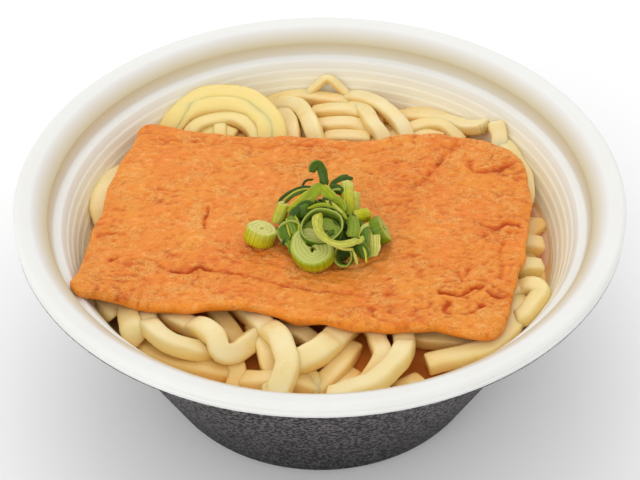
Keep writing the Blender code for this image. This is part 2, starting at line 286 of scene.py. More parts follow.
def turned(name, outline, steps):
    """A closed outline of (radius, height) points, in mm, swung once round +Z."""
    shape = bmesh.new()
    verts = [shape.verts.new((radius * MM, 0.0, height * MM)) for radius, height in outline]
    edges = [shape.edges.new(pair) for pair in zip(verts, verts[1:])]
    bmesh.ops.spin(
        shape, geom=verts + edges, cent=(0, 0, 0), axis=(0, 0, 1), angle=2 * math.pi, steps=steps,
        use_merge=True, use_duplicate=False,
    )
    bmesh.ops.remove_doubles(shape, verts=shape.verts, dist=1e-6)
    bmesh.ops.recalc_face_normals(shape, faces=shape.faces)
    return keep_mesh(name, shape)


def keep_values(mesh, name, values):
    """Keeps a value for each vertex under a name, for a material to read."""
    mesh.attributes.new(name, "FLOAT", "POINT").data.foreach_set("value", values)


def mark_verts(mesh, name, value_at):
    """Keeps a value worked out from each vertex's radius and height in mm."""
    places = [(math.hypot(vert.co.x, vert.co.y) / MM, vert.co.z / MM) for vert in mesh.vertices]
    keep_values(mesh, name, [value_at(radius, height) for radius, height in places])


def new_node(tree, kind, values=None, **settings):
    """A shader node with its settings made and its sockets filled."""
    node = tree.nodes.new("ShaderNode" + kind)
    for setting, value in settings.items():
        setattr(node, setting, value)
    fill_sockets(tree, node, values or {})
    return node


def read_attribute(tree, name):
    return new_node(tree, "Attribute", attribute_name=name).outputs["Fac"]


def mix_colours(tree, factor, first, second):
    """A colour between two, each given as an output or as numbers."""
    values = {"Factor": factor}
    for socket, colour in (("A", first), ("B", second)):
        values[socket] = (*colour, 1.0) if isinstance(colour, tuple) else colour
    return new_node(tree, "Mix", values, data_type="RGBA").outputs["Result"]


# Mottle: cloudy drift between two colours, as moulded foam, dough and fried skin all show.
mottle = bpy.data.node_groups.new("mottle", "ShaderNodeTree")
for label, kind, value in (
    ("Light", "NodeSocketColor", (1, 1, 1, 1)),
    ("Dark", "NodeSocketColor", (0, 0, 0, 1)),
    ("Scale", "NodeSocketFloat", 100.0),
    ("Contrast", "NodeSocketFloat", 0.2),
    ("Stretch", "NodeSocketVector", (1, 1, 1)),
):
    mottle.interface.new_socket(label, in_out="INPUT", socket_type=kind).default_value = value
for label, kind in (("Color", "NodeSocketColor"), ("Mask", "NodeSocketFloat")):
    mottle.interface.new_socket(label, in_out="OUTPUT", socket_type=kind)
given = mottle.nodes.new("NodeGroupInput").outputs
where = new_node(mottle, "TexCoord").outputs["Object"]
pulled = new_node(mottle, "VectorMath", {0: where, 1: given["Stretch"]}, operation="MULTIPLY")
cloud = new_node(mottle, "TexNoise", {
    "Vector": pulled.outputs["Vector"], "Scale": given["Scale"], "Detail": 5.0,
})
low_end = new_node(mottle, "Math", {0: 0.5, 1: given["Contrast"]}, operation="SUBTRACT")
high_end = new_node(mottle, "Math", {0: 0.5, 1: given["Contrast"]}, operation="ADD")
spread = new_node(mottle, "MapRange", {
    "Value": cloud.outputs["Fac"], "From Min": low_end.outputs[0], "From Max": high_end.outputs[0],
}).outputs["Result"]
blend = mix_colours(mottle, spread, given["Dark"], given["Light"])
fill_sockets(mottle, mottle.nodes.new("NodeGroupOutput"), {"Color": blend, "Mask": spread})


def place_mottle(tree, light, dark, scale, contrast, stretch=(1.0, 1.0, 1.0)):
    """Puts a mottle in a material with its own colours, grain, contrast and stretch."""
    node = new_node(tree, "Group", node_tree=mottle)
    fill_sockets(tree, node, {
        "Light": (*light, 1.0), "Dark": (*dark, 1.0),
        "Scale": scale, "Contrast": contrast, "Stretch": stretch,
    })
    return node


def add_bump(tree, height, strength, distance):
    """Raises the finish by a height output, without moving the mesh."""
    bump = new_node(tree, "Bump", {"Strength": strength, "Distance": distance, "Height": height})
    set_shader(tree, Normal=bump.outputs["Normal"])


def grain(tree, scale, detail=3.0):
    """A noise over the piece, for bump and roughness."""
    place = new_node(tree, "TexCoord").outputs["Object"]
    return new_node(tree, "TexNoise", {"Vector": place, "Scale": scale, "Detail": detail}).outputs["Fac"]


def vary_roughness(tree, value, low, high):
    """Roughness that drifts between two ends with a value over the surface."""
    ends = new_node(tree, "MapRange", {"Value": value, "To Min": low, "To Max": high})
    set_shader(tree, Roughness=ends.outputs["Result"])


foam_material, tree = new_material("white_foam", 0.42)
clouds = place_mottle(tree, FOAM_WHITE, FOAM_CREAM, 60.0, 0.22)
# Painted light over the foam's own colour: painted shade on the slope above the ledge, and painted warm
# bounce light on the wall above the broth.
foam_with_painted_light = mix_colours(tree, read_attribute(tree, "painted_shade"), clouds.outputs["Color"], FOAM_PAINTED_SHADE)
foam_with_painted_light = mix_colours(tree, read_attribute(tree, "painted_bounce"), foam_with_painted_light, FOAM_PAINTED_BOUNCE)
set_shader(
    tree, Base_Color=foam_with_painted_light, Specular_IOR_Level=0.35,
    Subsurface_Weight=0.12, Subsurface_Radius=(1.0, 0.9, 0.75), Subsurface_Scale=2.0 * MM,
)
vary_roughness(tree, clouds.outputs["Mask"], 0.36, 0.50)
add_bump(tree, grain(tree, 900.0), 0.10, 0.1 * MM)

lining_outline = food_side() + [(RIM_RADIUS, SKIRT_BOTTOM + SKIRT_LIP)]
lining_outline += inset_line([(RIM_RADIUS, SKIRT_BOTTOM)] + outside(), FILM)[1:]
lining_mesh = turned("bowl_lining", lining_outline, TURN_STEPS)
# The painted shade and the painted warm bounce light are kept per vertex, by height on the food side.
for label, levels in (("painted_shade", PAINTED_SHADE_HEIGHTS), ("painted_bounce", PAINTED_BOUNCE_HEIGHTS)):
    marks = list(zip(*levels))
    mark_verts(
        lining_mesh, label,
        lambda radius, height: float(np.interp(height, *marks)) if radius < CREST_RADIUS else 0.0,
    )
lining = add_piece("bowl_lining", lining_mesh, foam_material)
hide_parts("bowl")
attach(lining, "root")

# ----------------------------------------
# The bowl's outside. A matt black film is laminated to the foam before it is formed, and covers
# the foot, the wall and the underside of the flange. Its cut edge ends the skirt as a dark line.
# ----------------------------------------
FILM_BLACK = (0.001, 0.001, 0.001)
FILM_GREY = (0.036, 0.032, 0.032)
FILM_SHEEN_DARK = (0.020, 0.017, 0.018)  # painted sheen, standing in for the bright table reflected near the rim: there its speckle goes from this
FILM_SHEEN_LIGHT = (0.200, 0.176, 0.182)  # to this
SHEEN_FROM = 15.0                   # height where the painted sheen starts
SHEEN_RISE = 50.0
FILM_SPECK = 1000.0
FILM_OVERLAP = 0.1                 # reaches into the foam, so that no gap shows


def held(value):
    """A share kept within 0 and 1."""
    return min(max(value, 0.0), 1.0)


def stretch_value(tree, value, low, high, to_low=0.0, to_high=1.0):
    """A value spread from one range to another and held inside it."""
    return new_node(tree, "MapRange", {
        "Value": value, "From Min": low, "From Max": high, "To Min": to_low, "To Max": to_high,
    }).outputs["Result"]


film_material, tree = new_material("black_film", 0.5)
film_grain = grain(tree, FILM_SPECK, 1.0)
specks = stretch_value(tree, film_grain, 0.44, 0.60)
plain_film = mix_colours(tree, specks, FILM_BLACK, FILM_GREY)
# Painted sheen: the film is drawn lighter towards the rim, as a painted reflection.
sheened_film = mix_colours(tree, specks, FILM_SHEEN_DARK, FILM_SHEEN_LIGHT)
set_shader(
    tree, Base_Color=mix_colours(tree, read_attribute(tree, "painted_sheen"), plain_film, sheened_film), Specular_IOR_Level=0.1,
)
vary_roughness(tree, specks, 0.60, 0.45)
add_bump(tree, film_grain, 0.25, 0.15 * MM)

film_face = [(RIM_RADIUS, SKIRT_BOTTOM + SKIRT_LIP), (RIM_RADIUS, SKIRT_BOTTOM)] + outside()
film_back = [(RIM_RADIUS - 0.4, SKIRT_BOTTOM + SKIRT_LIP)]
film_back += inset_line([(RIM_RADIUS, SKIRT_BOTTOM)] + outside(), FILM + FILM_OVERLAP)[1:]
film_outline = film_face + list(reversed(film_back)) + film_face[:1]
film_mesh = turned("bowl_film", film_outline, TURN_STEPS)
mark_verts(film_mesh, "painted_sheen", lambda radius, height: held((height - SHEEN_FROM) / SHEEN_RISE) ** 2)
film = add_piece("bowl_film", film_mesh, film_material)
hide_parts("bowl")
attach(film, "root")

# ----------------------------------------
# The broth. A thin brown stock of soy and dried fish fills the bowl to just under the noodles'
# tops. It wets the foam, so its edge reaches into the wall and creeps a little way up it.
# ----------------------------------------
BROTH_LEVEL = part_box("broth")[1].z / MM
BROTH_INTO_WALL = 0.35             # reaches into the foam, so that no gap shows
BROTH_ABOVE_FLOOR = 0.05
MENISCUS = 0.8                     # how far its edge creeps up
MENISCUS_WIDTH = 3.0
MENISCUS_STEPS = 6
BROTH_BROWN = (0.72, 0.215, 0.018)
BROTH_DEEP = (0.52, 0.125, 0.006)
BROTH_SHALLOW = (0.640, 0.400, 0.170)      # over the foam at its edge
BROTH_EDGE = 3.5
BROTH_STEPS = 160

broth_material, tree = new_material("broth", 0.12)
depths = place_mottle(tree, BROTH_BROWN, BROTH_DEEP, 90.0, 0.18)
shallow = read_attribute(tree, "shallow")
set_shader(tree, Base_Color=mix_colours(tree, shallow, depths.outputs["Color"], BROTH_SHALLOW))
vary_roughness(tree, depths.outputs["Mask"], 0.10, 0.18)
add_bump(tree, grain(tree, 140.0, 1.0), 0.25, 0.6 * MM)


def broth_outline():
    def wetted(height):
        return inner_wall(height) + BROTH_INTO_WALL

    line = [(0.0, BROTH_LEVEL)]
    for step in range(MENISCUS_STEPS + 1):
        share = step / MENISCUS_STEPS
        across = (MENISCUS_WIDTH + BROTH_INTO_WALL) * share
        line.append((broth_shore - MENISCUS_WIDTH + across, BROTH_LEVEL + MENISCUS * share ** 3))
    bottom = FLOOR_TOP + BROTH_ABOVE_FLOOR
    return line + foot_arc(wetted, bottom, FLOOR_CORNER, 6)[::-1] + [(0.0, bottom)]


broth_shore = inner_wall(BROTH_LEVEL)
broth_mesh = turned("broth_surface", broth_outline(), BROTH_STEPS)
mark_verts(broth_mesh, "shallow", lambda radius, height: held((radius - broth_shore) / BROTH_EDGE + 1))
broth = add_piece("broth_surface", broth_mesh, broth_material)
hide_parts("broth")
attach(broth, "root")

# ----------------------------------------
# The fried tofu. A thin sheet of bean curd is fried until its skin blisters, then simmered in
# sweet soy stock, which leaves it limp, leathery and orange. It lies flat over the noodles.
# ----------------------------------------
TOFU_FRONT = (                     # its four edges, from corner to corner
    (-70.6, -41.6), (-59.5, -40.2), (-47.5, -41.0), (-32.0, -41.6), (-18.0, -43.0), (-3.0, -48.0),
    (14.0, -49.2), (31.0, -50.2), (42.0, -52.8), (50.5, -53.0),
)
TOFU_BACK = (
    (-59.6, 44.6), (-51.0, 44.0), (-38.0, 40.3), (-24.0, 38.2), (-8.0, 37.7), (4.0, 35.2), (16.0, 33.9),
    (27.0, 36.6), (39.0, 36.5), (50.0, 34.5), (64.8, 34.2),
)
TOFU_LEFT = (
    (-70.6, -41.6), (-69.6, -30.0), (-68.4, -14.0), (-66.8, 2.0), (-64.8, 16.0), (-61.6, 30.0),
    (-59.6, 44.6),
)
TOFU_RIGHT = (
    (50.5, -53.0), (53.2, -40.0), (58.2, -26.0), (62.6, -9.5), (64.9, 5.0), (65.0, 18.0), (64.8, 34.2),
)
TOFU_HALF_LENGTH = 61.0
TOFU_HALF_WIDTH = 42.0
TOFU_CORNERS = {(-1, -1): 6.0, (1, -1): 5.0, (1, 1): 15.0, (-1, 1): 4.0}
TOFU_TOP = 60.6
TOFU_RISES = (                     # where noodles or the ledge push it up or let it sag: place, reach, rise
    (-70, -41, 14, 5.8), (-50, -45, 8, -0.6), (-20, -46, 9, 1.6), (2, -49, 6, 2.2), (20, -51, 8, -0.6),
    (37, 37, 12, 1.2), (-30, 10, 24, 0.6), (30, 5, 20, -0.4),
)
TOFU_THICKNESS = 4.2
TOFU_ROUND = 1.8
TOFU_ROUND_STEPS = 5
TOFU_EVEN = 1.2                    # the skin is even within this of the edge
TOFU_PALE = (0.2, 1.6)             # the edge's own colour starts here and fades over this
TOFU_CELL = 0.46
TOFU_CREASES = (                   # points along each crease, depth, half width, redness: painted shade along a crease, and painted light along a raised line given with depth below nought
    (((-61, -24), (-52, -24), (-46, -26), (-42, -27)), 0.35, 0.5, 0.45),
    (((-42, -27), (-39, -27.6), (-35, -25.8), (-31, -27)), 0.9, 0.45, 1.0),
    (((-31, -27), (-26, -28.5), (-14, -32.4), (0, -36.3), (9, -37)), 0.55, 0.5, 0.6),
    (((-33.9, 1), (-34, -3.2), (-34.8, -8.7)), 0.9, 0.32, 1.1),
    (((-66, -11), (-63, -9.7), (-58, -11)), 0.5, 0.5, 0.7),
    (((-61, -22.8), (-59.8, -22.2)), 1.0, 0.5, 1.2),
    (((32.8, -37.1), (36, -38), (39.2, -37.6), (42.8, -35.6), (45.5, -35)), 1.1, 0.6, 1.0),
    (((46.9, -36.9), (49.8, -38.1), (52.4, -37.8)), 1.0, 0.6, 1.0),
    (((35.3, -40.8), (35, -44.7), (38.5, -45.6), (42.7, -45.2), (46.2, -43.3)), 0.8, 0.7, 0.9),
    (((38.6, -27.7), (40.9, -31.1), (42.9, -27.7)), 0.6, 0.5, 0.6),
    (((48, -8.5), (52, -9.9), (55.9, -7.7), (59.5, -8.6)), 0.7, 0.5, 0.9),
    (((54.9, -15.8), (52.6, -23.6), (50.6, -30.8)), 0.5, 0.6, 0.5),
    (((44, 30), (38, 22.6), (34, 14.8), (29, 11)), 0.6, 0.8, 0.5),
    (((47.6, 22.4), (48.7, 17.3), (56.6, 18.2), (60.9, 22.2)), 0.6, 0.6, 0.7),
    (((-6, 32), (3.5, 30.4), (16.8, 27.5), (27, 30)), 0.4, 0.5, 0.4),
    (((-55, 36), (-38.5, 34.2), (-19, 31.2), (-6, 32)), 0.4, 0.5, 0.4),
    (((-25.2, 26.1), (-18, 17.3)), -0.35, 0.35, -0.6),
    (((0, -27), (12.5, -25.5), (17.8, -22.3), (27, -22)), 0.35, 0.5, 0.3),
    (((15.5, 0.3), (24.6, 3.2), (28, 4)), 0.4, 0.5, 0.4),
)
TOFU_RAGGED = 1.1                  # how far the torn edge wanders
TOFU_SWELL = 0.24                  # height of the slow ripples
TOFU_GRAINS = (                    # finer ripples: length, seed, height, more of it where rough, redness, which paints their tops paler and their hollows redder as painted light and shade
    (3.0, 6.1, 0.16, 0.0, -0.24), (1.5, 4.4, 0.11, 0.14, -0.34), (0.8, 7.7, 0.028, 0.07, -0.22),
)
TOFU_WRINKLES = (9.0, 5.9, 0.10, 0.25, 0.34)     # spacing, seed, narrowness, depth, redness, which is painted shade in the wrinkle
TOFU_FOLDS = (4.2, 9.4, 0.16, 0.12, 0.14)        # the same for the finer ones between them
TOFU_PATCHES = ((17.0, 8.8, 0.18), (6.0, 5.5, 0.10))     # redder patches: length, seed, redness
CREASE_BANK = 0.25                 # how deep the skin slopes to a crease, as a share of its depth
TOFU_CRUMPLES = (                  # where the skin is crumpled: place, reach, how much
    (40, -39, 14, 1.0), (56, 24, 12, 0.7), (30, 29, 12, 0.5), (-58, -36, 10, 0.6), (-38, -27, 11, 0.4),
    (-6, 33, 14, 0.4), (52, -14, 9, 0.5), (14, -44, 10, 0.3),
)


def smooth_route(points, spacing):
    """Evenly spaced places along a smooth curve through the given points."""
    knots = [np.array(point, float) for point in points]
    knots = [2 * knots[0] - knots[1]] + knots + [2 * knots[-1] - knots[-2]]
    dense = []
    for a, b, c, d in zip(knots, knots[1:], knots[2:], knots[3:]):
        for share in np.linspace(0, 1, 20, endpoint=False):
            bend = (2 * a - 5 * b + 4 * c - d) * share ** 2 + (3 * b - a - 3 * c + d) * share ** 3
            dense.append(0.5 * (2 * b + (c - a) * share + bend))
    dense = np.array(dense + [knots[-2]])
    travelled = np.concatenate([[0.0], np.cumsum(np.linalg.norm(np.diff(dense, axis=0), axis=1))])
    count = max(int(travelled[-1] / spacing), 3)
    at = np.linspace(0, travelled[-1], count + 1)
    return np.column_stack([np.interp(at, travelled, dense[:, axis]) for axis in range(len(knots[0]))])


def chance(x, y, z):
    """A smooth random value at a place, mostly within -0.6 to 0.6."""
    return noise.noise(Vector((x, y, z)))


def wave(x, y, length, seed):
    """A slow random wave between about -1 and 1."""
    return 1.6 * chance(x / length, y / length, seed)


def bulges(x, y, table):
    """The sum of soft round bulges, each given as its centre's x and y, its reach and its size."""
    total = 0.0
    for centre_x, centre_y, reach, size in table:
        total += size * math.exp(-((x - centre_x) ** 2 + (y - centre_y) ** 2) / reach ** 2)
    return total


def tofu_top(x, y):
    """The height of the slab's upper face."""
    return TOFU_TOP + 0.5 * wave(x, y, 30.0, 3.7) + bulges(x, y, TOFU_RISES)


def round_corner(x, y):
    """A place of the slab's square moved inside the square's rounded corners."""
    radius = TOFU_CORNERS[(math.copysign(1, x), math.copysign(1, y))]
    over_x = abs(x) - (TOFU_HALF_LENGTH - radius)
    over_y = abs(y) - (TOFU_HALF_WIDTH - radius)
    if over_x <= 0 or over_y <= 0:
        return x, y
    scale = max(over_x, over_y) / math.hypot(over_x, over_y)
    x = math.copysign(TOFU_HALF_LENGTH - radius + over_x * scale, x)
    y = math.copysign(TOFU_HALF_WIDTH - radius + over_y * scale, y)
    return x, y


tofu_edges = [smooth_route(edge, 0.5) for edge in (TOFU_FRONT, TOFU_BACK, TOFU_LEFT, TOFU_RIGHT)]


def on_edge(edge, share):
    """The place at a share of an edge's length."""
    place = held(share) * (len(edge) - 1)
    start = min(int(place), len(edge) - 2)
    return edge[start] + (edge[start + 1] - edge[start]) * (place - start)


def tofu_plan(x, y):
    """From the slab's own square length and width to its place over the noodles."""
    along, across = (x / TOFU_HALF_LENGTH + 1) / 2, (y / TOFU_HALF_WIDTH + 1) / 2
    front, back, left, right = tofu_edges
    between = (1 - across) * on_edge(front, along) + across * on_edge(back, along)
    between += (1 - along) * on_edge(left, across) + along * on_edge(right, across)
    between -= (1 - across) * ((1 - along) * front[0] + along * front[-1])
    between -= across * ((1 - along) * back[0] + along * back[-1])
    ragged = TOFU_RAGGED * chance(between[0] / 6, between[1] / 6, 2.5)
    sideways, lengthways = (x / TOFU_HALF_LENGTH) ** 9, (y / TOFU_HALF_WIDTH) ** 9
    return Vector((between[0] + ragged * sideways, between[1] + ragged * lengthways))


def edge_inset(x, y):
    """Distance from the slab's own square outline, before its corners are rounded."""
    return min(TOFU_HALF_LENGTH - abs(x), TOFU_HALF_WIDTH - abs(y))


def to_line(x, y, points):
    """Distance from a line of points."""
    best = 1e9
    for start, end in zip(points, points[1:]):
        run_x, run_y = end[0] - start[0], end[1] - start[1]
        share = ((x - start[0]) * run_x + (y - start[1]) * run_y) / (run_x * run_x + run_y * run_y)
        best = min(best, math.hypot(x - start[0] - held(share) * run_x, y - start[1] - held(share) * run_y))
    return best


def ripple(x, y, length, seed):
    """A random wave that is longer across the slab than along it."""
    return 1.6 * chance(x / length, y / (0.6 * length), seed)


def wrinkle(x, y, kind, amount):
    """(height, redness) of the lines where a ripple crosses nought. The redness is painted shade in them."""
    length, seed, narrowness, depth, redness = kind
    near = math.exp(-(ripple(x, y, length, seed) / narrowness) ** 2) * amount
    return -depth * near, redness * near


def tofu_relief(x, y):
    """(height, redness, roughness) of the skin at a place, from ripples, wrinkles and creases. The redness
    holds the skin's own redder patches, painted shade in wrinkles and creases, and painted light on ripple
    tops.
    """
    bend_x = x + wave(x, y, 7.0, 11.0)
    bend_y = y + wave(x, y, 7.0, 17.0)
    crumple = bulges(x, y, TOFU_CRUMPLES)
    rough = held(0.5 + 1.1 * chance(x / 11, y / 8, 21.0) + 0.4 * crumple)
    height = TOFU_SWELL * ripple(bend_x, bend_y, 10.0, 2.2)
    red = 0.10 * crumple
    for length, seed, level, more, redness in TOFU_GRAINS:
        up = ripple(x, y, length, seed)
        height += (level + more * rough) * up
        red += redness * up
    for length, seed, redness in TOFU_PATCHES:
        red += redness * wave(x, y, length, seed)
    for kind, amount in (
        (TOFU_WRINKLES, rough + 0.8 * crumple), (TOFU_FOLDS, 1 - 0.5 * rough + 1.6 * crumple),
    ):
        lower, redder = wrinkle(bend_x, bend_y, kind, amount)
        height += lower
        red += redder
    for points, depth, half_width, redness in TOFU_CREASES:
        share = to_line(bend_x, bend_y, points) / half_width
        if share < 4.0:
            near = math.exp(-share * share)
            height -= depth * (near + CREASE_BANK * math.exp(-share * share / 6.0))
            red += redness * (0.75 * near + 0.35 * math.exp(-share * share / 5.0))
    return height, red, rough


def spaced(half, cell, rounding, steps):
    """Places from -half to half: close together on the rounded edge and even between."""
    edge = [rounding * (1 - math.cos(math.pi / 2 * step / steps)) for step in range(steps)]
    count = int(2 * (half - rounding) / cell)
    inner = np.linspace(-half + rounding, half - rounding, count + 1)
    return np.concatenate([-half + np.array(edge), inner, half - np.array(edge[::-1])])


class MeshBin:
    """Gathers closed bits, each with named values for its points, into one mesh."""

    def __init__(self):
        self.places, self.faces, self.values = [], [], {}

    def add(self, places, faces, **values):
        start = len(self.places)
        self.places += [tuple(place) for place in places]
        self.faces += [tuple(start + corner for corner in face) for face in faces]
        for name, value in values.items():
            many = value if isinstance(value, list) else [value] * len(places)
            self.values.setdefault(name, []).extend(many)

    def to_mesh(self, name):
        mesh = bpy.data.meshes.new(name)
        mesh.from_pydata([Vector(place) * MM for place in self.places], [], self.faces)
        for label, values in self.values.items():
            keep_values(mesh, label, values)
        mesh.shade_smooth()
        return mesh


def build_tofu():
    across = spaced(TOFU_HALF_LENGTH, TOFU_CELL, TOFU_ROUND, TOFU_ROUND_STEPS)
    along = spaced(TOFU_HALF_WIDTH, TOFU_CELL, TOFU_ROUND, TOFU_ROUND_STEPS)
    places, reds, roughs, edges = [], [], [], []
    for side in (1, -1):
        for y in along:
            for x in across:
                inset = edge_inset(x, y)
                plan = tofu_plan(*round_corner(x, y))
                lean = max(TOFU_ROUND - inset, 0.0)
                drop = TOFU_ROUND - math.sqrt(max(TOFU_ROUND ** 2 - lean ** 2, 0.0))
                relief, red, rough = tofu_relief(plan.x, plan.y) if side > 0 else (0.0, 0.3, 0.5)
                middle = tofu_top(plan.x, plan.y) - TOFU_THICKNESS / 2
                height = middle + side * (TOFU_THICKNESS / 2 - drop) + relief * min(1.0, inset / TOFU_EVEN)
                places.append((plan.x, plan.y, height))
                reds.append(red)
                roughs.append(rough)
                edges.append(1 - held((inset - TOFU_PALE[0]) / TOFU_PALE[1]) if side > 0 else 1.0)
    columns, rows = len(across), len(along)
    sheet = columns * rows
    faces = []
    for row in range(rows - 1):
        for column in range(columns - 1):
            corner = row * columns + column
            faces.append((corner, corner + 1, corner + columns + 1, corner + columns))
            corner += sheet
            faces.append((corner, corner + columns, corner + columns + 1, corner + 1))
    rim = list(range(columns))
    rim += [row * columns + columns - 1 for row in range(1, rows)]
    rim += [(rows - 1) * columns + column for column in range(columns - 2, -1, -1)]
    rim += [row * columns for row in range(rows - 2, 0, -1)]
    for start, end in zip(rim, rim[1:] + rim[:1]):
        faces.append((start, start + sheet, end + sheet, end))
    slab = MeshBin()
    slab.add(places, faces, red=reds, rough=roughs, edge=edges)
    return slab.to_mesh("fried_tofu")


def multiply(tree, first, second):
    return new_node(tree, "Math", {0: first, 1: second}, operation="MULTIPLY").outputs[0]


TOFU_ORANGE = (0.800, 0.225, 0.023)
TOFU_AMBER = (0.810, 0.285, 0.036)
TOFU_SIDE = (0.900, 0.300, 0.028)
TOFU_RED = (0.560, 0.080, 0.004)
TOFU_PEACH = (1.000, 0.490, 0.140)
BLACK, WHITE = (0, 0, 0), (1, 1, 1)

tofu_material, tree = new_material("fried_tofu", 0.45)
skin = place_mottle(tree, TOFU_AMBER, TOFU_ORANGE, 75.0, 0.14)
flecks = place_mottle(tree, WHITE, BLACK, 2000.0, 0.18, (0.75, 1.0, 1.0)).outputs["Mask"]
grits = place_mottle(tree, WHITE, BLACK, 420.0, 0.13, (0.6, 1.0, 1.0)).outputs["Mask"]
red = read_attribute(tree, "red")
rough = stretch_value(tree, read_attribute(tree, "rough"), 0.0, 1.0, 0.6, 1.8)
speck = multiply(tree, multiply(tree, flecks, grits), rough)
colour = mix_colours(tree, read_attribute(tree, "edge"), skin.outputs["Color"], TOFU_SIDE)
for factor, over in (
    (stretch_value(tree, speck, 0.22, 0.90, 0.0, 0.55), TOFU_PEACH),       # light grains of the skin
    (stretch_value(tree, red, -0.10, -0.80, 0.0, 0.70), TOFU_PEACH),       # painted light: what stands up is paler
    (stretch_value(tree, flecks, 0.42, 0.0, 0.0, 0.26), TOFU_RED),         # dark pits
    (stretch_value(tree, red, 0.10, 1.05), TOFU_RED),                      # painted shade: the creases and wrinkles darker red
):
    colour = mix_colours(tree, factor, colour, over)
set_shader(
    tree, Base_Color=colour, Specular_IOR_Level=0.22,
    Subsurface_Weight=0.04, Subsurface_Radius=(1.0, 0.4, 0.12), Subsurface_Scale=1.0 * MM,
)
vary_roughness(tree, skin.outputs["Mask"], 0.34, 0.52)
add_bump(tree, speck, 0.6, 0.35 * MM)

tofu = add_piece("fried_tofu_sheet", build_tofu(), tofu_material)
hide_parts("fried_tofu")
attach(tofu, "root")

# ----------------------------------------
# The noodles. Thick wheat dough is rolled, cut into square strands and boiled, so each strand
# is soft-edged, wet and cream, with flat cut ends. They lie in loops round and under the tofu.
# ----------------------------------------
NOODLE_WIDTH = 6.4
NOODLE_DEPTH = 5.2
NOODLE_STEP = 1.2                  # between rings along a strand
NOODLE_SIDES = 20
NOODLE_ANGLES = [2 * math.pi * (side + 0.5) / NOODLE_SIDES for side in range(NOODLE_SIDES)]
NOODLE_SQUARENESS = 4.2
NOODLE_GAP = 0.25                  # kept to the tofu and the wall
NOODLE_TUCK = 0.35                 # share of its width that passes the tofu's edge before it may rise
NOODLE_RISE = 1.3                  # and how steeply it rises from there
NOODLE_SWELL = 0.08
NOODLE_DENT = 0.05
END_CROWN = 0.3                    # how far a cut end counts as the strand's top, for the painted shade on its sides
CUT_SHRINK = 0.86                  # how much of a strand's width is flat on its cut end
YELLOW_PART = (-12.0, 20.0)        # the strands left of and behind this are yellower
YELLOW_MORE = 0.6                  # by this
YELLOW_DRIFT = 0.4                 # and each strand by up to this

